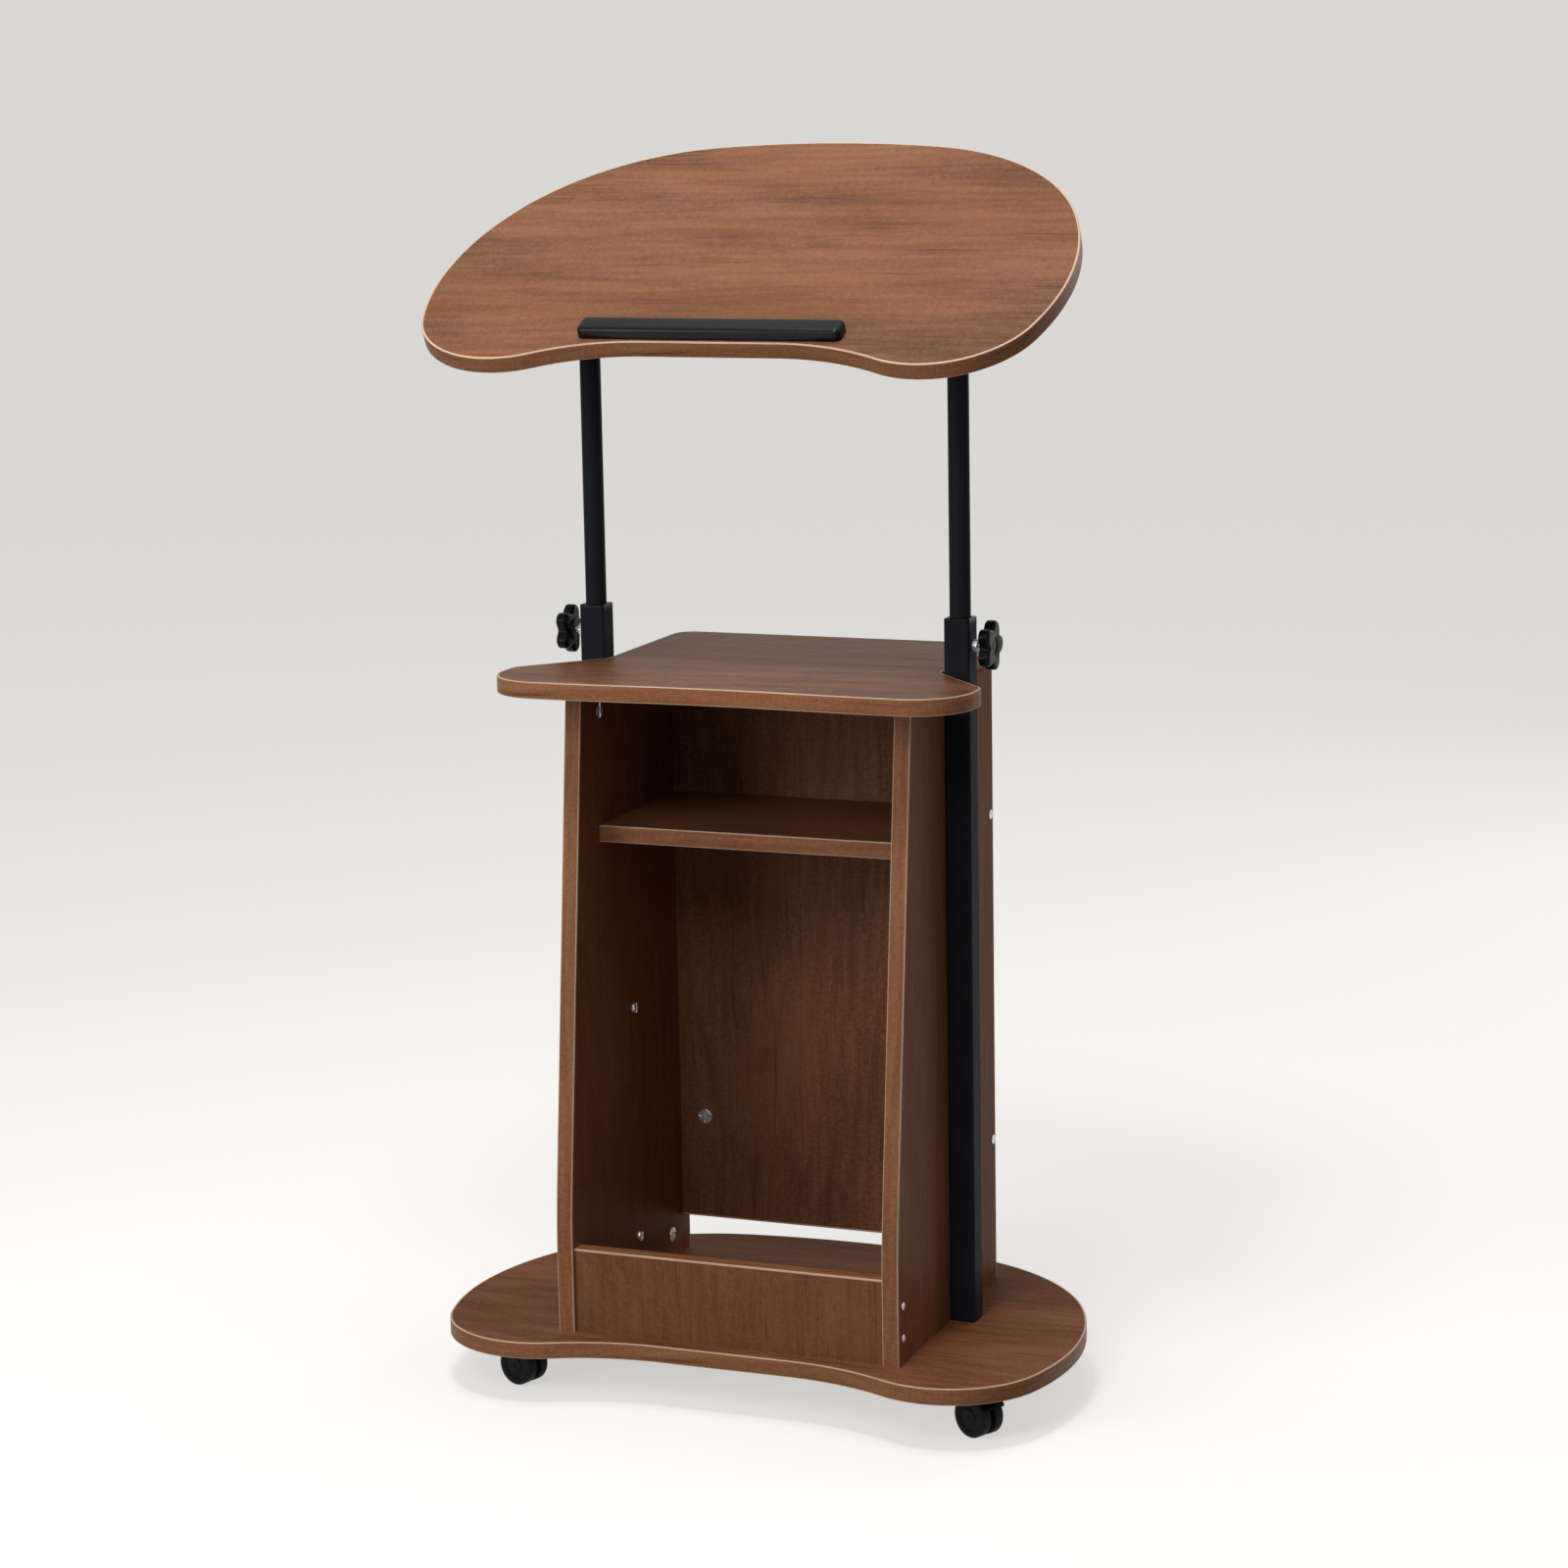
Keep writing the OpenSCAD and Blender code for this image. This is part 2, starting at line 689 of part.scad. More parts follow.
module on_desk() {
    translate([0, post_y, bar_z]) rotate([tilt, 0, 0]) children();
}

module desk_top() {
    color(walnut) on_desk() difference() {
        translate([0, desk_shift, bar_drop]) linear_extrude(board_t)
            polygon(bean(bean_w - 2*band_t, bean_d - 2*band_t));
        for (x = stop_screw_x) translate([x, stop_y, bar_drop - cut])
            cylinder(d = stop_screw_d, h = board_t + 2*cut);
        saddle_screw_places() translate([0, 0, bar_drop - cut])
            cylinder(d = saddle_screw_d, h = saddle_screw_l - saddle_t + cut);
    }
}

module desk_edge_band() {
    color(walnut) on_desk() translate([0, desk_shift, 0]) bean_band(bar_drop);
}

// Book stop, with two screws from below
bean_hollow = let(n = len(bean_half) - 1) bean_half[n][1]*bean_d/bean_low;
stop_y = desk_shift + bean_d/2 - bean_hollow + stop_setback + stop_d/2;
stop_corner_r = 6;
stop_edge_r = 2.5;
stop_screw_d = 4;
stop_screw_in = 6;
stop_screw_x = [-stop_l/3, stop_l/3];
screw_head_d = 8;
screw_head_t = 2;
screw_end_gap = 0.5;

module book_stop() {
    color(black_plastic) on_desk() translate([0, stop_y, bar_drop + board_t]) difference() {
        soft_bar(stop_l, stop_d, stop_h, stop_corner_r, stop_edge_r);
        for (x = stop_screw_x) translate([x, 0, -cut])
            cylinder(d = stop_screw_d, h = stop_screw_in + cut);
    }
}

module book_stop_screws() {
    color(zinc) on_desk() for (x = stop_screw_x) translate([x, stop_y, bar_drop])
        screw_z(stop_screw_d, board_t + stop_screw_in - screw_end_gap, screw_head_d, screw_head_t);
}

// Hinge: a steel saddle over the bar, a strap under it and a nylon liner between them
liner_t = 2;
saddle_in_r = leg_r + run + liner_t;
saddle_out_r = saddle_in_r + saddle_t;
saddle_foot = 62;
saddle_screw_d = 4;
saddle_screw_l = 14;
saddle_screw_edge = 7;
saddle_split = 1;
screw_hole_gap = 0.2;
ear_l = 20;
clamp_y = -saddle_out_r - 0.55*ear_l;

module saddle_places() { left_right() translate([saddle_pitch/2, 0, 0]) children(); }
module saddle_screw_places() {
    saddle_places() for (x = [-1, 1]) for (y = [-1, 1])
        translate([x*(saddle_w/2 - saddle_screw_edge), y*(saddle_foot/2 - saddle_screw_edge), 0])
            children();
}

// A saddle: the plate under the desk, two webs down to the half shell over the bar, and an ear
module hinge_saddles() {
    color(black_steel) on_desk() difference() {
        saddle_places() difference() {
            union() {
                translate([-saddle_w/2, -saddle_foot/2, bar_drop - saddle_t])
                    cube([saddle_w, saddle_foot, saddle_t]);
                translate([-saddle_w/2, -saddle_out_r, saddle_split])
                    cube([saddle_w, 2*saddle_out_r, bar_drop - saddle_t - saddle_split]);
                translate([-saddle_w/2, -saddle_out_r - ear_l, saddle_split])
                    cube([saddle_w, ear_l + cut, saddle_t]);
            }
            along_x(saddle_w + 2*cut) cylinder(r = saddle_in_r, h = saddle_w + 2*cut);
            translate([-saddle_w/2 + saddle_t, -saddle_out_r - cut, saddle_out_r])
                cube([saddle_w - 2*saddle_t, 2*saddle_out_r + 2*cut,
                      bar_drop - saddle_t - saddle_out_r]);
            translate([0, clamp_y, 0]) cylinder(d = stud_d + 2*run, h = bar_drop);
        }
        saddle_screw_places() translate([0, 0, bar_drop - saddle_t - cut])
            cylinder(d = saddle_screw_d + 2*screw_hole_gap, h = saddle_t + 2*cut);
    }
}

// A strap: the lower half shell, with an ear at the front and a lip at the back
module hinge_straps() {
    color(black_steel) on_desk() saddle_places() difference() {
        union() {
            along_x(saddle_w) cylinder(r = saddle_out_r, h = saddle_w);
            translate([-saddle_w/2, -saddle_out_r - ear_l, -saddle_split - saddle_t])
                cube([saddle_w, ear_l + saddle_t, saddle_t]);
        }
        along_x(saddle_w + 2*cut) cylinder(r = saddle_in_r, h = saddle_w + 2*cut);
        translate([-saddle_w, -saddle_out_r - cut, -saddle_split])
            cube([2*saddle_w, 2*saddle_out_r + 2*cut, saddle_out_r + 2*cut]);
        translate([0, clamp_y, -saddle_out_r]) cylinder(d = stud_d + 2*run, h = saddle_out_r);
    }
}

module hinge_liners() {
    color(nylon) on_desk() saddle_places() along_x(saddle_w) difference() {
        cylinder(r = saddle_in_r - run, h = saddle_w);
        translate([0, 0, -cut]) cylinder(r = leg_r + run, h = saddle_w + 2*cut);
    }
}

module saddle_screws() {
    color(zinc) on_desk() saddle_screw_places() translate([0, 0, bar_drop - saddle_t])
        screw_z(saddle_screw_d, saddle_screw_l - screw_end_gap, screw_head_d, screw_head_t);
}

// Nuts on the saddles' ears, for the tilt knobs' studs
clamp_nut_t = 5;

module clamp_nuts() {
    color(zinc) on_desk() saddle_places() translate([0, clamp_y, saddle_split + saddle_t])
        difference() {
            cylinder(d = nut_af/cos(30), h = clamp_nut_t, $fn = 6);
            translate([0, 0, -cut]) cylinder(d = stud_d + 2*run, h = clamp_nut_t + 2*cut);
        }
}

// Tilt knobs, under the straps' ears
tilt_knob_t = 11;
tilt_hub_d = 14;
tilt_hub_z = -saddle_split - saddle_t - clear;
tilt_hub_l = saddle_out_r + 2*clear + tilt_hub_z;

module tilt_knob_place() {
    on_desk() translate([saddle_pitch/2, clamp_y, tilt_hub_z]) rotate([180, 0, 0]) children();
}

module tilt_knob_solid() {
    tilt_knob_place() translate([0, 0, tilt_hub_l])
        star_head(tilt_knob_d, tilt_knob_t, tilt_hub_d, tilt_hub_l, stud_d + 2*run, stud_in_knob);
}

module tilt_stud_solid() {
    above = saddle_split + saddle_t + clamp_nut_t - tilt_hub_z;
    tilt_knob_place() translate([0, 0, -above])
        cylinder(d = stud_d, h = above + stud_in_knob - stud_end_gap);
}

module tilt_knob_left() { color(black_plastic) mirror([1, 0, 0]) tilt_knob_solid(); }
module tilt_stud_left() { color(zinc) mirror([1, 0, 0]) tilt_stud_solid(); }
module tilt_knob_right() { color(black_plastic) tilt_knob_solid(); }
module tilt_stud_right() { color(zinc) tilt_stud_solid(); }

// Casters: name, place and heading of each
casters = [["front_left", -front_caster_pitch/2, -front_caster_y, -18],
           ["front_right", front_caster_pitch/2, -front_caster_y, -28],
           ["rear_left", -rear_caster_pitch/2, rear_caster_y, -20],
           ["rear_right", rear_caster_pitch/2, rear_caster_y, -35]];
plate_t = 2.5;
plate_corner_r = 4;
plate_screw_d = 3.5;
plate_screw_l = 13;
plate_screw_edge = 5;
kingpin_d = 8;
kingpin_floor = 0.8;
web_w = 5;
wheel_side_gap = 0.5;
hood_w = 2*wheel_w + web_w + 2*cut;
hood_gap = 0.8;
hood_wall = 1.6;
hood_in_r = wheel_d/2 + hood_gap;
hood_r = hood_in_r + hood_wall;
hood_below = 3;
boss_r = 10;
hub_top = caster_h - plate_t - clear;

// The kingpin ends in a blind bore, with a floor between the bore and the wheels
kingpin_bore_z = wheel_d/2 + kingpin_floor + sqrt(pow(hood_in_r, 2) - pow(trail - kingpin_d/2, 2));
kingpin_l = caster_h - kingpin_bore_z - clear;
axle_d = 4;
axle_boss_d = 16;

module plate_holes() {
    for (x = [-1, 1]) for (y = [-1, 1])
        translate([x*(plate_w/2 - plate_screw_edge), y*(plate_w/2 - plate_screw_edge), 0])
            children();
}

module caster_plates() {
    color(black_steel) for (c = casters) translate([c[1], c[2], caster_h - plate_t]) difference() {
        linear_extrude(plate_t) square_round(plate_w, plate_corner_r);
        plate_holes() translate([0, 0, -cut])
            cylinder(d = plate_screw_d + 2*screw_hole_gap, h = plate_t + 2*cut);
        translate([0, 0, -cut]) cylinder(d = kingpin_d, h = plate_t + 2*cut);
    }
}

module caster_kingpins() {
    color(zinc) for (c = casters) translate([c[1], c[2], caster_h - kingpin_l])
        cylinder(d = kingpin_d, h = kingpin_l);
}

module caster_screws() {
    head_d = 7;
    head_t = 1.6;
    color(zinc) for (c = casters) translate([c[1], c[2], caster_h - plate_t]) plate_holes()
        screw_z(plate_screw_d, plate_t + plate_screw_l - screw_end_gap, head_d, head_t);
}

// Places a child in a caster's frame: z = 0 is the floor, X points along the trail
module in_caster(i) {
    translate([casters[i][1], casters[i][2], 0]) rotate([0, 0, casters[i][3]]) children();
}

// A cylinder along Y, centred on y = 0
module axle_y(d, l) { rotate([90, 0, 0]) translate([0, 0, -l/2]) cylinder(d = d, h = l); }

// A caster's hood: the arch over the wheels, the web between them and the boss on the kingpin
module caster_hood(i) {
    axle_z = wheel_d/2;
    hood_low = axle_z - hood_below;
    color(black_plastic) in_caster(i) difference() {
        union() {
            difference() {
                translate([trail, 0, axle_z]) axle_y(2*hood_r, hood_w);
                for (s = [-1, 1]) translate([trail, s*(web_w/2 + hood_w/2), axle_z])
                    axle_y(2*hood_in_r, hood_w);
                translate([trail - 2*hood_r, -hood_w, -hood_r])
                    cube([4*hood_r, 2*hood_w, hood_low + hood_r]);
            }
            translate([trail, 0, axle_z]) axle_y(axle_boss_d, web_w);
            intersection() {
                translate([0, 0, axle_z]) cylinder(r = boss_r, h = hub_top - axle_z);
                difference() {
                    translate([-boss_r - cut, -hood_w, 0])
                        cube([2*boss_r + 2*cut, 2*hood_w, caster_h]);
                    translate([trail, 0, axle_z]) axle_y(2*hood_in_r, 2*hood_w);
                }
            }
            translate([-boss_r, -web_w/2, hood_low])
                cube([trail, web_w, hub_top - hood_low - hood_wall]);
        }
        translate([trail, 0, axle_z]) axle_y(axle_d + 2*run, 2*hood_w);
        translate([0, 0, kingpin_bore_z]) cylinder(d = kingpin_d + 2*run, h = caster_h);
    }
}

module caster_axle(i) {
    color(zinc) in_caster(i) translate([trail, 0, wheel_d/2])
        axle_y(axle_d, web_w + 2*wheel_w);
}

// One wheel of a pair, on the side s of the web: a tyre band, a dished disc and a hub
module caster_wheel(i, s) {
    r = wheel_d/2;
    w = wheel_w - wheel_side_gap;
    bore_r = axle_d/2 + run;
    hub_r = 7;
    dish = 1.5;
    color(black_plastic) in_caster(i)
        translate([trail, s*(web_w/2 + wheel_side_gap), r])
            rotate([s > 0 ? -90 : 90, 0, 0]) rotate_extrude()
                polygon([[bore_r, 0], [hub_r, 0], [hub_r, dish], [r - 5, dish], [r - 4, 0],
                         [r - 0.8, 0], [r, 0.8], [r, w - 3], [r - 1, w - 1.2], [r - 3, w - 0.4],
                         [r - 6, w], [r - 6 - dish, w - dish], [hub_r + dish, w - dish],
                         [hub_r, w], [bore_r, w]]);
}

base_board();
base_edge_band();
side_panel_left();
side_panel_right();
kick_board();
back_panel();
inner_shelf();
mid_shelf();
mid_shelf_edge_band();
straight_edge_bands();
post_left();
post_right();
collar_left();
collar_right();
knob_nuts();
post_bolts();
post_nuts();
shelf_pins();
cam_locks();
cam_bolts();
kick_screws();
caster_plates();
caster_kingpins();
caster_screws();
lift_frame();
leg_glides();
star_knob_left();
knob_stud_left();
star_knob_right();
knob_stud_right();
desk_top();
desk_edge_band();
book_stop();
book_stop_screws();
hinge_saddles();
hinge_straps();
hinge_liners();
saddle_screws();
clamp_nuts();
tilt_knob_left();
tilt_stud_left();
tilt_knob_right();
tilt_stud_right();
for (i = [0 : len(casters) - 1]) {
    caster_hood(i);
    caster_axle(i);
    caster_wheel(i, -1);
    caster_wheel(i, 1);
}
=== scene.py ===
"""Looks of the rolling lectern: its finishes, and finer shapes for its trim, steel and hardware.

Shapes are drawn in millimetres, in the frame of the solids: the floor is z = 0 and +Y is the back.
They become metres when their mesh is made. Angles are in degrees.
"""

import logging
import math
from dataclasses import dataclass, field
from enum import Enum
from typing import Any, Iterable, Sequence

import bmesh
import bpy
import numpy as np
from mathutils import Matrix, Vector


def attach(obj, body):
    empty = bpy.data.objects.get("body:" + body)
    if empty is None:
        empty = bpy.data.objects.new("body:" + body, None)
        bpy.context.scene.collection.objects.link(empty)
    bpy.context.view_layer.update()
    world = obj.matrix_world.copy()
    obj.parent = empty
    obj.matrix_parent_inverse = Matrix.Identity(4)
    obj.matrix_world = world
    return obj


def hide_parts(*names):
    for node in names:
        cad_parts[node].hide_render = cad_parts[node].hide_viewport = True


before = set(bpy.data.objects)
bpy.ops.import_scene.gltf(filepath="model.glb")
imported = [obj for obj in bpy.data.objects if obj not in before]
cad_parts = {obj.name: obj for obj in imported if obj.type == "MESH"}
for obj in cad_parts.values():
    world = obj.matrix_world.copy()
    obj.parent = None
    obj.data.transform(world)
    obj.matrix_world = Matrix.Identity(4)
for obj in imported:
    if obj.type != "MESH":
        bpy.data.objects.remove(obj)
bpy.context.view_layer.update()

LOG = logging.getLogger("lectern")
MM = 0.001
MIRROR = Matrix.Diagonal((-1, 1, 1, 1))


# Colour and nodes


def linear(code: str) -> tuple[float, float, float, float]:
    """Turns an sRGB colour such as "#8B5E45" into the linear red, green, blue and alpha of shaders."""
    parts = [int(code[i : i + 2], 16) / 255 for i in (1, 3, 5)]
    # The curve of the sRGB standard, which is straight near black.
    return tuple(c / 12.92 if c <= 0.04045 else ((c + 0.055) / 1.055) ** 2.4 for c in parts) + (1.0,)


def add(
    tree: bpy.types.NodeTree, kind: str, links: dict | None = None, **settings: Any
) -> bpy.types.Node:
    """Adds a node with its settings and its inputs.

    Args:
        tree: The material's or the world's tree.
        kind: The node's type, without the word ShaderNode.
        links: What goes into each input, by name or number: a socket or a value.
        settings: The node's own settings.

    Returns:
        The new node.
    """
    node = tree.nodes.new("ShaderNode" + kind)
    for name, value in settings.items():
        setattr(node, name, value)
    for name, value in (links or {}).items():
        if isinstance(value, bpy.types.NodeSocket):
            tree.links.new(value, node.inputs[name])
        else:
            node.inputs[name].default_value = value
    return node


def seen(tree: bpy.types.NodeTree) -> bpy.types.NodeSocket:
    """Tells rays that see the background from rays that only carry light.

    Args:
        tree: The material's or the world's tree.

    Returns:
        1 for rays from the camera and from glossy or clear surfaces, and 0 for the others.
    """
    path = add(tree, "LightPath")
    found = path.outputs["Is Camera Ray"]
    for name in ("Is Glossy Ray", "Is Transmission Ray"):
        found = add(tree, "Math", {0: found, 1: path.outputs[name]}, operation="MAXIMUM").outputs[0]
    return found


# Finishes

# The range that most of a noise lies in, and how strong each finer layer of spots and of streaks is
# against the one before.
NOISE_LOW, NOISE_HIGH = 0.3, 0.7
SPOT_GAIN, STREAK_GAIN = 0.55, 0.6
# A plain finish's tone changes slowly: the size of its clouds in millimetres, and the shades of its
# colour at a cloud's middle and between the clouds.
CLOUD_SIZE = 60
CLOUD_SHADES = (0.86, 1.1)
# Its gloss changes where it is handled: the size of the spots, their finer layers, and how far the
# roughness goes either way.
HANDLED_SIZE, HANDLED_LAYERS, HANDLED_SWING = 9, 4, 0.05


def spots(at: Any, size: float, detail: float = 2.0) -> dict[str, Any]:
    """Returns what a noise takes for spots of a size in millimetres, with so many finer layers."""
    return {"Vector": at, "Scale": 1 / (size * MM), "Detail": detail, "Roughness": SPOT_GAIN}


def spread(value: Any, low: float, high: float) -> dict[str, Any]:
    """Returns what brings a noise from its usual range to a range from low to high."""
    return {"Value": value, "From Min": NOISE_LOW, "From Max": NOISE_HIGH, "To Min": low, "To Max": high}


@dataclass(frozen=True)
class Finish:
    """A finish: the material that a surface is made of, and how it was worked."""

    name: str
    colour: str
    roughness: float
    metallic: float = 0.0
    specular: float = 0.3
    grit: float = 0.6
    relief: float = 0.01

    def material(self) -> bpy.types.Material:
        """Makes the finish's material the first time it is asked for.

        Returns:
            The material.
        """
        material = bpy.data.materials.get(self.name)
        if material is None:
            material = bpy.data.materials.new(self.name)
            material.use_nodes = True
            shader = material.node_tree.nodes["Principled BSDF"]
            shader.inputs["Metallic"].default_value = self.metallic
            shader.inputs["Specular IOR Level"].default_value = self.specular
            self.dress(material.node_tree, shader)
            material.diffuse_color = linear(self.colour)
        return material

    def place(self, tree: bpy.types.NodeTree) -> bpy.types.NodeSocket:
        """Returns the place on the object, which moves with it."""
        return add(tree, "TexCoord").outputs["Object"]

    def cover(
        self, tree: bpy.types.NodeTree, shader: bpy.types.Node, colour: Any, gloss: Any, height: Any
    ) -> None:
        """Puts a worked-out colour, gloss and relief on the shader.

        Args:
            tree: The material's tree.
            shader: Its shader.
            colour: The colour.
            gloss: The roughness.
            height: The relief's height, from 0 to 1, where 1 is the finish's relief.
        """
        bump = add(tree, "Bump", {"Height": height, "Distance": self.relief * MM, "Strength": 1.0})
        values = {"Base Color": colour, "Roughness": gloss, "Normal": bump.outputs["Normal"]}
        for name, value in values.items():
            tree.links.new(value, shader.inputs[name])

    def dress(self, tree: bpy.types.NodeTree, shader: bpy.types.Node) -> None:
        """Puts the finish's colour, gloss and relief on the shader.

        Args:
            tree: The material's tree.
            shader: Its shader.
        """
        at = self.place(tree)
        cloud = add(tree, "TexNoise", spots(at, CLOUD_SIZE)).outputs["Fac"]
        ramp = add(tree, "ValToRGB", {"Fac": cloud})
        for index, (place, shade) in enumerate(zip((NOISE_LOW, NOISE_HIGH), CLOUD_SHADES)):
            stop = ramp.color_ramp.elements[index]
            stop.position = place
            stop.color = tuple(min(1.0, shade * c) for c in linear(self.colour)[:3]) + (1.0,)
        handled = add(tree, "TexNoise", spots(at, HANDLED_SIZE, HANDLED_LAYERS)).outputs["Fac"]
        swing = spread(handled, self.roughness - HANDLED_SWING, self.roughness + HANDLED_SWING)
        gloss = add(tree, "MapRange", swing).outputs["Result"]
        grit = add(tree, "TexNoise", spots(at, self.grit, 1)).outputs["Fac"]
        self.cover(tree, shader, ramp.outputs["Color"], gloss, grit)


class Lay(Enum):
    """How the printed grain lies on a board: the turn that brings it to X, with its width along Y."""

    FLAT = (0.0, 0.0, 0.0)
    DESK = (-27.0, 0.0, 0.0)
    SIDE = (0.0, 90.0, 0.0)
    BACK = (90.0, 0.0, 90.0)
    BAND = None


class Streak(Enum):
    """Streaks of the print: their length along the grain and their width in millimetres, and their
    finer layers. The sizes are those that show on the boards."""

    BROAD = (260, 100, 1)
    CLOUD = (200, 26, 2)
    FIGURE = (130, 8, 3)
    FIBRE = (30, 2.6, 2)
    FLECK = (3, 5, 2)


class Mark(Enum):
    """Marks on the print: a streak's length, width and finer layers, then the part of its noise in
    which the mark comes in. Walnut's pores are about 0.2 mm wide, which is too fine to show: they
    are drawn 0.55 mm wide."""

    VEIN = (110, 3.8, 3, 0.52, 0.7)
    VEINED = (170, 40, 1, 0.48, 0.64)
    PORE = (8, 0.55, 0, 0.6, 0.72)
    EMBER = (210, 55, 2, 0.4, 0.64)


# The waves that the grain follows, in metres: along it, across it and in depth.
SWAY_SIZE = (0.19, 0.07, 0.3)
# The print's growth rings, about 10 mm apart, a little uneven.
RINGS = {"Scale": 30.0, "Distortion": 4.0, "Detail": 2.0, "Detail Scale": 0.5}
# How much each layer moves the tone: the large ones, then the fine ones.
LARGE_SHARES = (0.18, 0.17, 0.15)
FINE_SHARES = (0.14, 0.24)
# Where the four tones lie, from the middle of the sum.
TONE_PLACES = (-0.11, -0.025, 0.035, 0.135)
# How far the figure moves the roughness, down and up.
PRINT_GLOSS = (0.04, 0.05)
# The pressed face: the height of its pearl, and how deep the pores go into it.
PEARL_HEIGHT, PORE_HEIGHT = 0.5, -1.2


@dataclass(frozen=True)
class WalnutPrint(Finish):
    """Melamine board, pressed, with a walnut print: soft wavy figure with dark veins and warm patches
    under a satin face, which hides all gloss but a low shine. The same print is on the ABS edge band,
    where it runs round the edge."""

    lay: Lay = Lay.FLAT
    start: tuple[float, float, float] = (0.0, 0.0, 0.0)
    tones: tuple[str, ...] = ("#73472D", "#805135", "#89583B", "#956345")
    vein: str = "#4A3021"
    ember: str = "#925C38"
    embers: float = 0.26
    veins: float = 0.55
    pore: float = 0.3
    sway: float = 16.0
    rings: float = 0.035
    pith: tuple[float, float] = (40.0, 45.0)
    lean: float = 5.0
    cloudy: float = 1.0
    fine: float = 1.0

    def place(self, tree: bpy.types.NodeTree) -> bpy.types.NodeSocket:
        """Finds the place on the print.

        Args:
            tree: The material's tree.

        Returns:
            X along the grain and Y across it, in metres.
        """
        if self.lay is Lay.BAND:
            return add(tree, "UVMap", uv_map="print").outputs["UV"]
        turn = [math.radians(a) for a in self.lay.value]
        start = [s * MM for s in self.start]
        links = {"Vector": super().place(tree), "Rotation": turn, "Location": start}
        return add(tree, "Mapping", links).outputs["Vector"]

    def streaks(
        self, tree: bpy.types.NodeTree, at: Any, length: float, width: float, detail: float
    ) -> Any:
        """Draws a noise out along the grain.

        Args:
            tree: The material's tree.
            at: The place on the print.
            length: The length of a streak, in millimetres.
            width: Its width, in millimetres.
            detail: How many finer layers it has.

        Returns:
            The noise.
        """
        scale = [1 / (length * MM), 1 / (width * MM), 1 / (4 * width * MM)]
        drawn = add(tree, "Mapping", {"Vector": at, "Scale": scale}).outputs["Vector"]
        links = {"Vector": drawn, "Scale": 1.0, "Detail": detail, "Roughness": STREAK_GAIN}
        return add(tree, "TexNoise", links).outputs["Fac"]

    def sum(self, tree: bpy.types.NodeTree, *shares: tuple[Any, float]) -> Any:
        """Adds values up.

        Args:
            tree: The material's tree.
            shares: Each value, and the share at which it is taken.

        Returns:
            Their sum.
        """
        total: Any = 0.0
        for value, share in shares:
            links = {0: value, 1: share, 2: total}
            total = add(tree, "Math", links, operation="MULTIPLY_ADD").outputs["Value"]
        return total

    def mark(self, tree: bpy.types.NodeTree, at: Any, mark: Mark, high: float = 1.0) -> Any:
        """Draws a mark.

        Args:
            tree: The material's tree.
            at: The place on the print.
            mark: Which mark it is.
            high: How strong it is where it is whole.

        Returns:
            Its strength, from 0 to the high.
        """
        *streak, start, end = mark.value
        value = self.streaks(tree, at, *streak)
        links = {"Value": value, "From Min": start, "From Max": end, "To Max": high}
        return add(tree, "MapRange", links, interpolation_type="SMOOTHSTEP").outputs["Result"]

    def dress(self, tree: bpy.types.NodeTree, shader: bpy.types.Node) -> None:
        """Puts the print, the satin gloss and the pressed pores on the shader.

        Args:
            tree: The material's tree.
            shader: Its shader.
        """
        flat = self.place(tree)
        sway = add(tree, "Mapping", {"Vector": flat, "Scale": tuple(1 / size for size in SWAY_SIZE)})
        sway = add(tree, "TexNoise", {"Vector": sway.outputs["Vector"], "Scale": 1.0, "Detail": 1.0})
        links = {0: sway.outputs["Color"], 1: (0.0, self.sway * MM, 0.0), 2: flat}
        at = add(tree, "VectorMath", links, operation="MULTIPLY_ADD").outputs["Vector"]
        broad, cloud, figure, fibre = (
            self.streaks(tree, at, *streak.value)
            for streak in (Streak.BROAD, Streak.CLOUD, Streak.FIGURE, Streak.FIBRE)
        )
        fleck = self.streaks(tree, flat, *Streak.FLECK.value)
        across, depth = self.pith
        links = {"Vector": at, "Rotation": (0.0, math.radians(self.lean), 0.0)}
        links["Location"] = (0.0, across * MM, depth * MM)
        log = add(tree, "Mapping", links).outputs["Vector"]
        links = {"Vector": log, **RINGS}
        rings = add(tree, "TexWave", links, wave_type="RINGS", rings_direction="X").outputs["Fac"]
        shares = [share * self.cloudy for share in LARGE_SHARES]
        shares += [share * self.fine for share in FINE_SHARES] + [self.rings]
        value = self.sum(tree, *zip((broad, cloud, figure, fibre, fleck, rings), shares))
        ramp = add(tree, "ValToRGB", {"Fac": value})
        stops = ramp.color_ramp.elements
        middle = sum(shares) / 2
        for place, code in zip(TONE_PLACES, self.tones):
            stops.new(middle + place).color = linear(code)
        stops.remove(stops[-1])
        stops.remove(stops[0])
        line = self.mark(tree, at, Mark.VEIN)
        where = self.mark(tree, at, Mark.VEINED, self.veins)
        vein = add(tree, "Math", {0: line, 1: where}, operation="MULTIPLY").outputs["Value"]
        pore = self.mark(tree, at, Mark.PORE, self.pore)
        ember = self.mark(tree, flat, Mark.EMBER, self.embers)
        colour = ramp.outputs["Color"]
        for share, ink in ((ember, self.ember), (vein, self.vein), (pore, self.vein)):
            links = {0: share, 6: colour, 7: linear(ink)}
            colour = add(tree, "Mix", links, data_type="RGBA").outputs[2]
        smooth, rough = PRINT_GLOSS
        swing = spread(figure, self.roughness - smooth, self.roughness + rough)
        gloss = add(tree, "MapRange", swing).outputs["Result"]
        pearl = add(tree, "TexNoise", spots(flat, self.grit, 1)).outputs["Fac"]
        height = self.sum(tree, (pearl, PEARL_HEIGHT), (pore, PORE_HEIGHT))
        self.cover(tree, shader, colour, gloss, height)


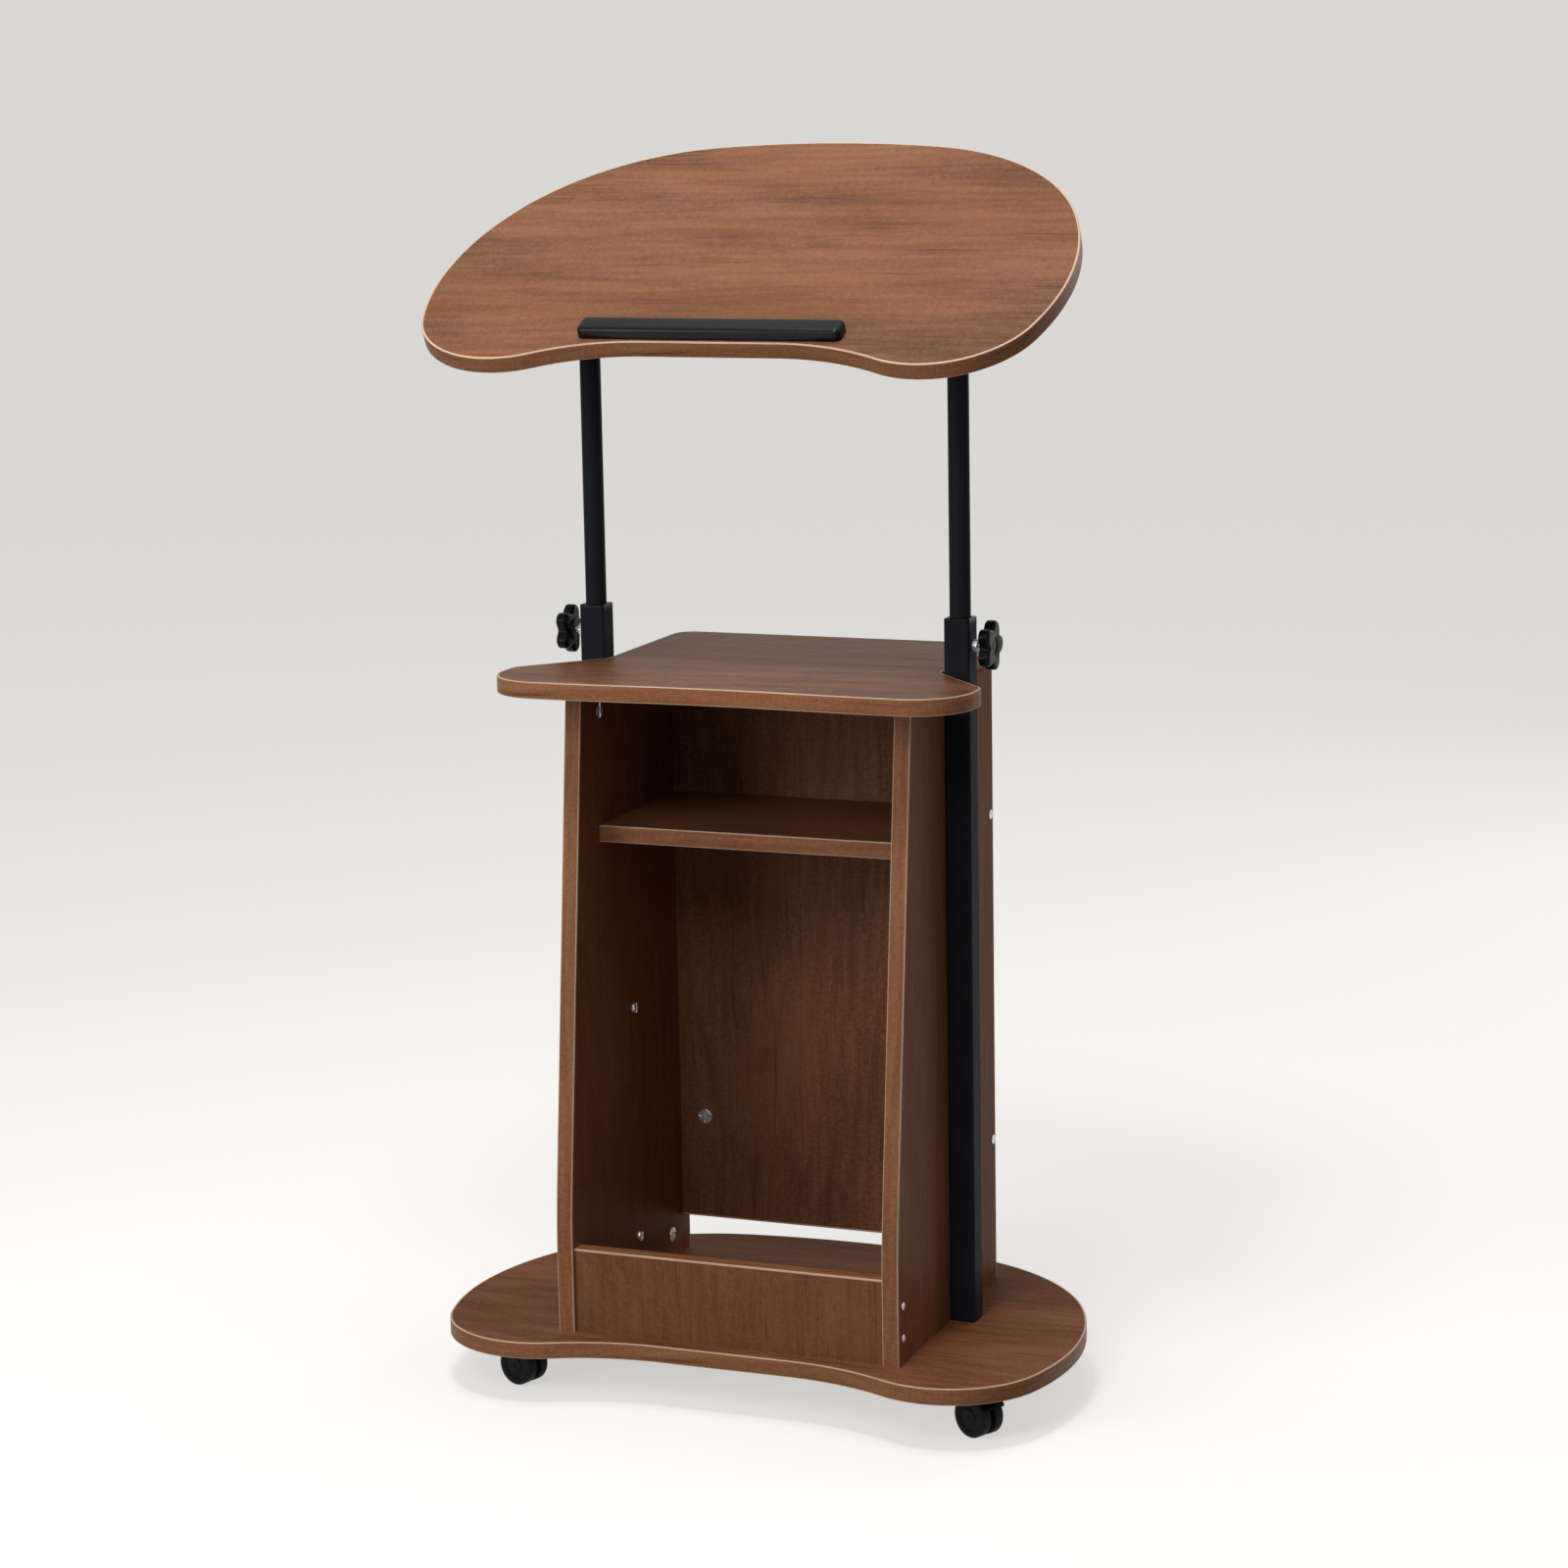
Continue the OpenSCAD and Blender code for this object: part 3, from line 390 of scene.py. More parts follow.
def walnut(name: str, lay: Lay, start: tuple[float, float, float], **more: Any) -> WalnutPrint:
    """Returns a walnut print for one board: where on the print the board was cut is its start."""
    sheen = {"roughness": 0.45, "specular": 0.08, "grit": 0.7, "relief": 0.02, **more}
    return WalnutPrint(name, "#875637", lay=lay, start=start, **sheen)


# The printed ABS band is a touch lighter than the boards. At its two arrises, where the band was trimmed
# round,
# it is painted pale: partly its real pale core, partly a painted highlight along the rounded edge.
BAND_PRINT = WalnutPrint(
    "abs_band_walnut_print",
    "#956A4E",
    0.45,
    specular=0.12,
    lay=Lay.BAND,
    tones=("#845437", "#966241", "#A36F4C", "#B07E5B"),
)
# The pale arrises: the band's real core colour, with a painted highlight in it.
PALE_CORE_AND_HIGHLIGHT = Finish("abs_band_core_and_painted_highlight", "#D8B89C", 0.5, grit=0.5, relief=0.02)
# The grit of a finish is the size of its texture in millimetres. Eroded mould faces, zinc
# crystals and drawn skins are finer than 0.1 mm, which is too fine to show: they are drawn at 0.35
# to 0.5 mm.
# Powder coat on steel tube and strip: near black, satin, with a faint orange peel.
POWDER_COAT = Finish("black_powder_coated_steel", "#27292F", 0.5, specular=0.03, grit=0.9, relief=0.03)
# Moulded ABS with a spark-eroded face: black, with a soft shine that changes where it is handled.
MOULDED = Finish("black_moulded_abs", "#0B0C10", 0.3, specular=0.1, grit=0.35, relief=0.02)
# Extruded black PVC of the book stop: smoother than the moulded parts, with a soft shine along it.
EXTRUDED = Finish("black_extruded_pvc", "#0B0C10", 0.26, specular=0.2, grit=0.5, relief=0.01)
# Bright zinc plate on steel fasteners, thin and a little cloudy.
ZINC = Finish("bright_zinc_plate", "#DCDEE0", 0.42, metallic=1.0, grit=0.5, relief=0.008)
# Blackened steel axle pins, drawn wire with an oxide skin that hardly shines.
BLACKENED = Finish("blackened_steel_pin", "#1A1A1B", 0.55, metallic=1.0, grit=0.4, relief=0.01)
# Hard polyurethane treads, cast, dull from the floor. Their black is darker than the treads' own: painted
# shade for the shade under the base.
TREAD_AND_SHADE = Finish("shaded_polyurethane_tread", "#151518", 0.62, specular=0.15, grit=0.5, relief=0.03)
# Natural nylon liners, moulded, ivory and waxy.
NYLON = Finish("natural_nylon", "#D8D4C8", 0.45, grit=0.5, relief=0.01)


@dataclass(frozen=True)
class Paper(Finish):
    """Matt studio paper. It is seen pale, and keeps the shadow, but throws little light back up."""

    shade: float = 0.85
    glow: float = 0.76
    bounce: str = "#8A8886"
    speck: float = 3
    speckled: float = 0.97

    def far(self) -> tuple[float, ...]:
        """Returns how the paper looks far from the lamps, as a linear colour."""
        level = self.glow + self.shade * STUDIO_AMBIENT
        return tuple(level * c for c in linear(self.colour)[:3]) + (1.0,)

    def dress(self, tree: bpy.types.NodeTree, shader: bpy.types.Node) -> None:
        """Lets the camera and glossy surfaces see the pale paper.

        Args:
            tree: The material's tree.
            shader: Its shader, which the paper doesn't use.
        """
        seen_by = seen(tree)
        speck = add(tree, "TexNoise", spots(self.place(tree), self.speck)).outputs["Fac"]
        tone = add(tree, "MapRange", spread(speck, self.speckled, 1.0)).outputs["Result"]
        pale = tuple(self.shade * c for c in linear(self.colour)[:3]) + (1.0,)
        tint = add(tree, "VectorMath", {0: pale[:3], 3: tone}, operation="SCALE").outputs["Vector"]
        paper = add(tree, "BsdfDiffuse", {"Color": tint}).outputs["BSDF"]
        glow = add(tree, "Emission", {"Color": linear(self.colour), "Strength": self.glow})
        both = add(tree, "AddShader", {0: paper, 1: glow.outputs["Emission"]}).outputs["Shader"]
        dull = add(tree, "BsdfDiffuse", {"Color": linear(self.bounce)}).outputs["BSDF"]
        mix = add(tree, "MixShader", {0: seen_by, 1: dull, 2: both}).outputs["Shader"]
        tree.links.new(mix, tree.nodes["Material Output"].inputs["Surface"])
        tree.nodes.remove(shader)


# How strongly the studio lights the object evenly from all round.
STUDIO_AMBIENT = 0.16
PAPER = Paper("pale_studio_paper", "#E4E2DF", 0.85)


# Shapes

# Faces that meet at more than this angle keep a sharp edge between them.
SHARP_ANGLE = 38
# On the solids that stay: points closer than this, in millimetres, are one, and edges sharper than
# the angle are rounded in so many steps.
WELD, BEVEL_ANGLE, BEVEL_STEPS = 0.002, 35, 2
# A turn in an outline has a point at least every so many degrees.
TURN_STEP = 6


def move(x: float = 0.0, y: float = 0.0, z: float = 0.0) -> Matrix:
    """Returns a shift in millimetres."""
    return Matrix.Translation((x, y, z))


def turn(axis: str, degrees: float) -> Matrix:
    """Returns a turn about an axis through the origin."""
    return Matrix.Rotation(math.radians(degrees), 4, axis)


def sides(place: Matrix) -> tuple[Matrix, Matrix]:
    """Returns a place on the right and its mirror image on the left."""
    return place, MIRROR @ place


def angles(count: int) -> np.ndarray:
    """Returns evenly spaced angles of a whole turn, in radians."""
    return np.arange(count) * 2 * math.pi / count


def ring(radius: Any, z: Any, count: int = 48) -> np.ndarray:
    """Returns a ring of points about Z, with one radius and height or one for each point."""
    a = angles(count)
    return np.stack([radius * np.cos(a), radius * np.sin(a), z + 0 * a], 1)


def round_over(
    start: tuple[float, float], centre: tuple[float, float], sweep: float, steps: int
) -> list[tuple[float, float]]:
    """Draws an arc.

    Args:
        start: Where it starts.
        centre: Its centre.
        sweep: How far it turns, to the left where positive.
        steps: How many steps it has.

    Returns:
        Its points, with its start.
    """
    dx, dy = start[0] - centre[0], start[1] - centre[1]
    found = []
    for k in range(steps + 1):
        a = math.radians(sweep * k / steps)
        x = centre[0] + dx * math.cos(a) - dy * math.sin(a)
        y = centre[1] + dx * math.sin(a) + dy * math.cos(a)
        found.append((x, y))
    return found


def walk(
    start: Sequence[float], heading: float, arcs: Iterable[Sequence[float]], step: float = 3.0
) -> list[tuple[float, float]]:
    """Draws a path of arcs and straight parts.

    Args:
        start: Where it starts, which isn't among the points.
        heading: Its first direction.
        arcs: The radius and the right turn of each arc, or 0 and a length for a straight part.
        step: The longest step along an arc.

    Returns:
        Its points.
    """
    x, y = start
    found = []
    for radius, sweep in arcs:
        if radius == 0:
            x += sweep * math.cos(math.radians(heading))
            y += sweep * math.sin(math.radians(heading))
            found.append((x, y))
            continue
        side = 1 if sweep > 0 else -1
        h = math.radians(heading)
        centre = (x + side * radius * math.sin(h), y - side * radius * math.cos(h))
        count = math.ceil(max(radius * math.radians(abs(sweep)) / step, abs(sweep) / TURN_STEP))
        found += round_over((x, y), centre, -sweep, count)[1:]
        x, y = found[-1]
        heading -= sweep
    return found


def both_halves(half: Sequence[Sequence[float]]) -> np.ndarray:
    """Returns a right half outline joined to its mirror image."""
    return np.array(list(half) + [(-x, y) for x, y in reversed(half) if abs(x) > 0.001])


def outward(outline: np.ndarray, closed: bool) -> np.ndarray:
    """Finds which way a path's left side faces.

    Args:
        outline: The path's points.
        closed: Whether its last point is joined to its first.

    Returns:
        The direction to the left at each point.
    """
    if closed:
        along = np.roll(outline, -1, 0) - np.roll(outline, 1, 0)
    else:
        along = np.gradient(outline, axis=0)
    along = along / np.linalg.norm(along, axis=1, keepdims=True)
    return np.stack([-along[:, 1], along[:, 0]], 1)


class Shape:
    """A mesh in the making, as rings of points that are joined by faces."""

    def __init__(self) -> None:
        """Starts an empty mesh."""
        self.points: list[np.ndarray] = []
        self.faces: list[tuple[int, ...]] = []
        self.finishes: list[int] = []
        self.corners: list[tuple[float, float]] = []
        self.count = 0

    def loft(
        self,
        rings: Any,
        at: Matrix | None = None,
        closed: bool = False,
        finish: int | Sequence[int] = 0,
        lengths: tuple[Sequence[float], Sequence[float]] | None = None,
    ) -> "Shape":
        """Joins rings of points with faces. The first and last rings get a cap unless they are joined.

        Args:
            rings: The rings, each with the same number of points.
            at: Where the drawn shape is placed.
            closed: Whether the last ring is joined to the first.
            finish: The finish of the faces, or of each strip that the ring's steps make.
            lengths: Lengths along the rings and round a ring, for the print on the faces.

        Returns:
            The mesh itself.
        """
        rings = np.array(rings, float)
        count, size, _ = rings.shape
        points = rings.reshape(-1, 3)
        if at is not None:
            turned = np.array(at)
            points = points @ turned[:3, :3].T + turned[:3, 3]
        strips = [finish] * size if isinstance(finish, int) else list(finish)
        for i in range(count if closed else count - 1):
            low, high = self.count + i * size, self.count + (i + 1) % count * size
            for j in range(size):
                k = (j + 1) % size
                self.faces.append((low + j, low + k, high + k, high + j))
                self.finishes.append(strips[j])
                corners = [(0.0, 0.0)] * 4
                if lengths:
                    u, v = lengths
                    corners = [(u[i], v[j]), (u[i], v[j + 1]), (u[i + 1], v[j + 1]), (u[i + 1], v[j])]
                self.corners += corners
        if not closed:
            last = self.count + (count - 1) * size
            for cap in (range(self.count + size - 1, self.count - 1, -1), range(last, last + size)):
                self.faces.append(tuple(cap))
                self.finishes.append(strips[0])
                self.corners += [(0.0, 0.0)] * size
        self.points.append(points)
        self.count += len(points)
        return self

    def revolve(self, profile: Sequence[Sequence[float]], at: Matrix | None = None, **more: Any) -> "Shape":
        """Turns a profile of radii and heights about Z, with what else loft takes."""
        return self.loft([ring(r, z) for r, z in profile], at, **more)

    def piece(
        self, name: str, body: str, slot: str, finishes: Sequence[Finish], nodes: Sequence[str]
    ) -> bpy.types.Object:
        """Makes the object, and has it stand for the solids.

        Args:
            name: Its name.
            body: The body that it rides on.
            slot: Not used.
            finishes: Its finishes.
            nodes: The solids that it stands for.

        Returns:
            The object.
        """
        mesh = bpy.data.meshes.new(name)
        mesh.from_pydata((np.concatenate(self.points) * MM).tolist(), [], self.faces)
        corners = np.array(self.corners)
        if corners.any():
            mesh.uv_layers.new(name="print").data.foreach_set("uv", corners.ravel())
        mesh.polygons.foreach_set("material_index", self.finishes)
        mesh.polygons.foreach_set("use_smooth", [True] * len(self.faces))
        edit = bmesh.new()
        edit.from_mesh(mesh)
        bmesh.ops.recalc_face_normals(edit, faces=edit.faces)
        edit.to_mesh(mesh)
        edit.free()
        mesh.set_sharp_from_angle(angle=math.radians(SHARP_ANGLE))
        made = bpy.data.objects.new(name, mesh)
        bpy.context.scene.collection.objects.link(made)
        for finish in finishes:
            mesh.materials.append(finish.material())
        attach(made, body)
        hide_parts(*nodes)
        LOG.info("%s: %d faces, rides on %s, stands for %s", name, len(self.faces), body, ", ".join(nodes))
        return made


def dress(finish: Finish, *nodes: str, bevel: float = 0.0) -> None:
    """Gives solids that stay as they are a finish.

    Args:
        finish: The finish.
        nodes: Their names.
        bevel: How wide their edges are rounded, in millimetres.
    """
    for name in nodes:
        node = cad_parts[name]
        if not node.material_slots:
            node.data.materials.append(None)
        for slot in node.material_slots:
            slot.material = finish.material()
        if bevel:
            node.modifiers.new("weld", "WELD").merge_threshold = WELD * MM
            edge = node.modifiers.new("edges", "BEVEL")
            edge.width, edge.segments, edge.limit_method = bevel * MM, BEVEL_STEPS, "ANGLE"
            edge.angle_limit, edge.use_clamp_overlap = math.radians(BEVEL_ANGLE), True
        LOG.info("%s: solid, finished in %s", name, finish.name)


# Parts that several assemblies use


@dataclass(frozen=True)
class EdgeBand:
    """ABS band on a board's edge, trimmed round at both arrises, which are painted pale: its real core, with
    a painted highlight.
    """

    width: float = 16.0
    thick: float = 1.0
    arris: float = 0.9
    tuck: float = 0.9
    proud: float = 0.02
    steps: int = 4

    def section(self) -> tuple[np.ndarray, list[int]]:
        """Draws the band's section.

        Returns:
            Its points, as depth and width, and the finish of each step: 0 is the print and 1 the pale core
            with its painted highlight.
        """
        t, w, r = self.thick, self.width, self.arris
        low = round_over((t - r, 0), (t - r, r), 90, self.steps)
        high = round_over((t, w - r), (t - r, w - r), 90, self.steps)
        points = [(-self.tuck, -self.proud)] + low + high + [(-self.tuck, w + self.proud)]
        return np.array(points), ([1] * (self.steps + 1) + [0]) * 2

    def lay(
        self,
        shape: Shape,
        edge: np.ndarray,
        out: np.ndarray,
        up: Sequence[float],
        at: Matrix | None = None,
        closed: bool = False,
    ) -> Shape:
        """Lays the band along an edge.

        Args:
            shape: The mesh that it goes into.
            edge: Points on the band's outer face, at one edge of the board.
            out: The direction away from the board at each point.
            up: The direction to the board's other face.
            at: Where the drawn band is placed.
            closed: Whether the band runs all round.

        Returns:
            The mesh.
        """
        section, finish = self.section()
        up = np.array(up, float)
        rings = [
            p + o * (depth - self.thick) + up * along
            for p, o in zip(edge, out)
            for depth, along in section
        ]
        rings = np.array(rings).reshape(len(edge), len(section), 3)
        lengths, widths = (
            np.concatenate([[0], np.cumsum(np.linalg.norm(np.diff(path, axis=0, append=path[:1]), axis=1))])
            for path in (edge, section)
        )
        return shape.loft(rings, at, closed, finish, (lengths * MM, widths * MM))

    def lay_round(
        self, shape: Shape, outline: np.ndarray, z: float, at: Matrix | None = None
    ) -> Shape:
        """Lays the band all round a level board.

        Args:
            shape: The mesh that it goes into.
            outline: The board's outline.
            z: The height of the board's lower face.
            at: Where the drawn band is placed.

        Returns:
            The mesh.
        """
        flat = np.zeros((len(outline), 1))
        edge = np.hstack([outline, flat + z])
        return self.lay(shape, edge, np.hstack([outward(outline, True), flat]), (0, 0, 1), at, True)


@dataclass(frozen=True)
class BeanOutline:
    """The kidney-shaped outline that the base board and the desk share."""

    width: float = 620.0
    depth: float = 400.0
    arcs: tuple = ((780, 8.4), (224, 56.2), (277, 42), (95, 98.4), (240, -25))

    def half(self) -> list[tuple[float, float]]:
        """Draws the right half.

        Returns:
            Its points, from the middle of the rear edge to the middle of the front edge.
        """
        path = [(0.0, 0.0)] + walk((0, 0), 0, self.arcs)
        reach, low = max(x for x, _ in path), min(y for _, y in path)
        return [(x * self.width / 2 / reach, self.depth / 2 - y * self.depth / low) for x, y in path]

    def points(self) -> np.ndarray:
        """Returns the whole outline."""
        return both_halves(self.half())


class Drive(Enum):
    """The recess in a fastener's head: the length and the width of its arms, as shares of the head."""

    CROSS = (0.5, 0.13)
    CAM = (0.54, 0.1)
    NONE = (0.0, 0.0)


@dataclass(frozen=True)
class Fastener:
    """A fastener along +Z. Its head lies on z = 0, towards -Z, with a flat that is a share of it."""

    head: float
    rise: float
    shank: float
    length: float
    drive: Drive = Drive.CROSS
    flat: float = 0.45
    sink: float = 0.0

    def dip(self, radius: float, a: np.ndarray) -> np.ndarray:
        """Finds the recess.

        Args:
            radius: The radius of a ring on the head.
            a: The angles of the ring's points.

        Returns:
            How deep it is at each point.
        """
        arm, width = (share * self.head for share in self.drive.value)
        x, y = np.abs(radius * np.cos(a)), np.abs(radius * np.sin(a))
        inside = (np.minimum(x, y) < width / 2 + 0.01) & (np.maximum(x, y) < arm / 2)
        return np.where(inside, 0.55 * self.rise + self.sink, 0.0)

    def make(self, shape: Shape, at: Matrix) -> Shape:
        """Adds the fastener to a mesh.

        Args:
            shape: The mesh.
            at: The fastener's place.

        Returns:
            The mesh.
        """
        r, s, a = self.head / 2, self.shank / 2, angles(48)
        # The shank from its tip, the head's seat and its rim.
        profile = [(0.3 * s, self.length), (s, self.length - 0.8 * s), (s, 0), (r - 0.15, 0)]
        profile += [(r, -0.25 * self.rise)]
        # The head's crown, round to its flat.
        for k in (0.75, 0.5, 0.25):
            reach = self.flat + (1 - self.flat) * math.sqrt(1 - (1 - k) ** 2)
            profile.append((r * reach, -self.rise * (1 - 0.6 * k * k)))
        rings = [ring(radius, z) for radius, z in profile]
        # The flat with its recess, from just outside the arms' tips to the middle.
        arm = max(self.drive.value[0] * r, 0.3)
        for radius in (arm + 0.02, *(arm * share for share in (0.999, 0.75, 0.5, 0.3, 0.12))):
            rings.append(ring(radius, -self.rise + self.dip(radius, a)))
        return shape.loft(rings, at)


@dataclass(frozen=True)
class HexNut:
    """A hexagonal nut on z = 0, with chamfered corners."""

    across: float
    thick: float
    bore: float
    lead_in: float = 0.4
    points: int = 72

    def make(self, shape: Shape, at: Matrix) -> Shape:
        """Adds the nut to a mesh.

        Args:
            shape: The mesh.
            at: The nut's place.

        Returns:
            The mesh.
        """
        half, bore, lead = self.across / 2, self.bore / 2, self.lead_in
        hexagon = half / np.cos((angles(self.points) + math.pi / 6) % (math.pi / 3) - math.pi / 6)
        # The chamfer: how far the corners stand out of the face's circle at each depth.
        chamfer = [(0, 0.0), (0.25, 0.35), (0.6, 0.8)]
        levels = chamfer + [(self.thick - z, grow) for z, grow in reversed(chamfer)]
        profile = [(np.minimum(hexagon, 0.97 * half + grow), z) for z, grow in levels]
        profile += [(bore + lead, self.thick), (bore, self.thick - lead), (bore, lead), (bore + lead, 0)]
        return shape.loft([ring(radius, z, self.points) for radius, z in profile], at, closed=True)


@dataclass(frozen=True)
class Stud:
    """A threaded stud along Z. Its ends are drawn in, so that the thread starts softly."""

    diameter: float = 6.0
    pitch: float = 1.0
    depth: float = 0.45
    end: float = 0.3
    points: int = 24

    def make(self, shape: Shape, low: float, high: float, at: Matrix) -> Shape:
        """Adds the stud to a mesh.

        Args:
            shape: The mesh.
            low: Where the stud starts.
            high: Where it ends.
            at: The stud's place.

        Returns:
            The mesh.
        """
        a = angles(self.points)
        tip = self.diameter / 2 - self.depth - self.end
        profile = [(tip, low)]
        for z in np.arange(low + self.end, high - self.end, self.pitch / 5):
            wave = np.abs(((z / self.pitch - a / (2 * math.pi)) % 1) * 2 - 1)
            profile.append((self.diameter / 2 - self.depth * wave, z))
        profile.append((tip, high))
        return shape.loft([ring(radius, z, self.points) for radius, z in profile], at)


@dataclass(frozen=True)
class StarKnob:
    """A moulded hand knob with round lobes on z = 0, its hub towards -Z, its face dished."""

    diameter: float
    thick: float
    hub: float
    hub_length: float
    stud: float = 6.0
    lobes: int = 5
    points: int = 90

    def lobed(self, inset: float, blend: float = 0.0) -> np.ndarray:
        """Draws the lobes.

        Args:
            inset: How far the outline is drawn in.
            blend: How far it is brought towards the hub's circle, from 0 to 1.

        Returns:
            The radius of each point.
        """
        wave = (1 - np.cos(self.lobes * (angles(self.points) - math.pi / 2))) / 2
        lobe = self.diameter / 2 - inset - 0.15 * self.diameter * wave**1.4
        return lobe * (1 - blend) + (self.hub / 2) * blend

    def make(self, shape: Shape, at: Matrix) -> Shape:
        """Adds the knob to a mesh.

        Args:
            shape: The mesh.
            at: The knob's place.

        Returns:
            The mesh.
        """
        t, edge, bore = self.thick, 0.26 * self.thick, self.stud / 2 + 0.05
        hub, low = self.hub, -self.hub_length
        # The hub from its bore, chamfered at its end, and its step to the lobes.
        profile = [(bore, low), (hub / 2 - 0.6, low), (hub / 2, 0.6 - self.hub_length)]
        profile += [(hub / 2, -1.2), (hub / 2 + 0.4, 0.0), (self.lobed(edge + 1.5, 0.35), 0.02)]
        # The lobes' lower and upper rounds.
        turns = [math.radians(22.5 * k) for k in range(5)]
        profile += [(self.lobed(edge * (1 - math.sin(a))), edge * (1 - math.cos(a))) for a in turns]
        profile += [(self.lobed(edge * (1 - math.cos(a))), t - edge * (1 - math.sin(a))) for a in turns]
        # The dished face, and the low button in its middle.
        profile += [(self.lobed(edge, 0.45), t), (self.lobed(edge, 0.9), t - 0.05 * t)]
        for share, depth in ((0.44, 0.07), (0.4, 0.16), (0.2, 0.13), (0.02, 0.12)):
            profile.append((share * hub, t - depth * t))
        return shape.loft([ring(radius, z, self.points) for radius, z in profile], at)


# Assemblies


@dataclass
class Base:
    """The kidney-shaped base board on its casters."""

    height: float = 48.0
    outline: BeanOutline = BeanOutline()
    band: EdgeBand = EdgeBand()

    def build(self) -> None:
        """Finishes the board and lays its edge band."""
        # The dullest board. Its tones reach further than the usual ones, both ways.
        tones = ("#603B26", "#794D32", "#8A593C", "#A16B4A")
        more = {"tones": tones, "cloudy": 1.2, "fine": 0.8, "roughness": 0.56, "specular": 0.05}
        dress(walnut("walnut_melamine_base", Lay.FLAT, (0, 37, 0), **more), "base_board")
        shape = self.band.lay_round(Shape(), self.outline.points(), self.height)
        shape.piece("base_band", "root", "edge_band", (BAND_PRINT, PALE_CORE_AND_HIGHLIGHT), ["base_edge_band"])


@dataclass
class Cabinet:
    """The open cabinet: two side panels, a kick board, a back panel and an inner shelf."""

    floor: float = 64.0
    width: float = 345.0
    height: float = 614.0
    front: float = -156.0
    rear: float = 134.0
    board: float = 16.0
    straight: float = 75.0
    bend: float = 650.0
    lean: float = 6.2
    kick: tuple[float, float] = (-151.0, 82.0)
    back: tuple[float, float] = (117.0, 39.0)
    shelf: tuple[float, float] = (-68.0, 478.0)
    shelf_gap: float = 0.5
    cam_reach: float = 26.0
    cam_rear: float = 88.0
    cam_low: float = -106.0
    cam_high: float = -59.0
    cam_back: tuple[float, float] = (144.0, 470.0)
    kick_screws: tuple[float, float] = (25.0, 56.0)
    dowel_reach: float = 9.0
    cam: Fastener = Fastener(14.8, 0.3, 14.6, 11.8, Drive.CAM, flat=0.9, sink=1.3)
    bolt: Fastener = Fastener(9, 1.2, 6, 34, flat=0.7)
    dowel: Fastener = Fastener(6, 2, 6, 20, Drive.NONE, flat=0.8)
    screw: Fastener = Fastener(7.5, 1, 5, 46, flat=0.7)
    band: EdgeBand = EdgeBand()

    @property
    def inner(self) -> float:
        """How far the panels' inner faces lie from the middle."""
        return self.width / 2 - self.board

    def front_edge(self) -> np.ndarray:
        """Draws a side panel's front edge.

        Returns:
            Its points from the base up, as Y and Z.
        """
        start, arcs = (self.front, 0.0), [(0, self.straight), (self.bend, self.lean)]
        path = [start] + walk(start, 90, arcs)
        y, z = path[-1]
        rise = self.height - z
        return np.array(path + [(y + rise * math.tan(math.radians(self.lean)), self.height)])

    def bands(self) -> None:
        """Lays the bands on the panels' and the boards' straight edges."""
        shape = Shape()
        front = self.front_edge()
        out = outward(front, False)
        x = np.full((len(front), 1), self.inner)
        rear = np.array([(self.inner, self.rear, z) for z in (0, self.height)])
        for place in sides(move(z=self.floor)):
            self.band.lay(shape, np.hstack([x, front]), np.hstack([0 * x, out]), (1, 0, 0), place)
            self.band.lay(shape, rear, np.array([(0, 1, 0)] * 2), (1, 0, 0), place)
        level = np.array([(-self.inner, 0, 0), (self.inner, 0, 0)])
        short = level * (1 - self.shelf_gap / self.inner)
        # Each board's edge, its place over the base, which way the band faces, and its width.
        boards = (
            (level, self.kick, (0, 0, 1), (0, 1, 0)),
            (level, self.back, (0, 0, -1), (0, 1, 0)),
            (short, (self.shelf[0], self.shelf[1] - self.board), (0, -1, 0), (0, 0, 1)),
        )
        for edge, (y, z), facing, width in boards:
            self.band.lay(shape, edge + (0, y, self.floor + z), np.array([facing] * 2), width)
        shape.piece("cabinet_bands", "root", "edge_band", (BAND_PRINT, PALE_CORE_AND_HIGHLIGHT), ["straight_edge_bands"])

    def cam_places(self) -> list[Matrix]:
        """Places the cam locks of the right half.

        Returns:
            The place of each, with its face towards -Z.
        """
        face = turn("Y", 90)
        low, top = self.floor + self.cam_reach, self.floor + self.height - self.cam_reach
        found = [move(self.inner, y, low) @ face for y in (self.cam_low, self.cam_rear)]
        found += [move(self.inner, y, top) @ face for y in (self.cam_high, self.cam_rear)]
        x, y = self.inner - self.cam_reach, self.back[0]
        return found + [move(x, y, self.floor + z) @ turn("X", -90) for z in self.cam_back]

    def fasteners(self) -> None:
        """Makes the cam locks, the cam bolts and the kick board's screws."""
        cams, bolts, screws = Shape(), Shape(), Shape()
        for place in self.cam_places():
            for at in sides(place):
                self.cam.make(cams, at)
        cams.piece("cam_lock_discs", "root", "zinc", (ZINC,), ["cam_locks"])
        middle = self.back[0] + self.board / 2
        for z in self.cam_back:
            for at in sides(move(self.width / 2, middle, self.floor + z) @ turn("Y", -90)):
                self.bolt.make(bolts, at)
        half = self.inner + self.board / 2
        top = self.floor + self.height + self.dowel_reach
        for y in (self.cam_low, self.cam_rear):
            for at in sides(move(half, y, self.floor - self.dowel_reach)):
                self.dowel.make(bolts, at)
        for y in (self.cam_high, self.cam_rear):
            for at in sides(move(half, y, top) @ turn("X", 180)):
                self.dowel.make(bolts, at)
        bolts.piece("cam_bolt_heads", "root", "zinc", (ZINC,), ["cam_bolts"])
        middle = self.kick[0] + self.board / 2
        for z in self.kick_screws:
            for at in sides(move(self.width / 2, middle, self.floor + z) @ turn("Y", -90)):
                self.screw.make(screws, at)
        screws.piece("kick_board_screws", "root", "zinc", (ZINC,), ["kick_screws"])

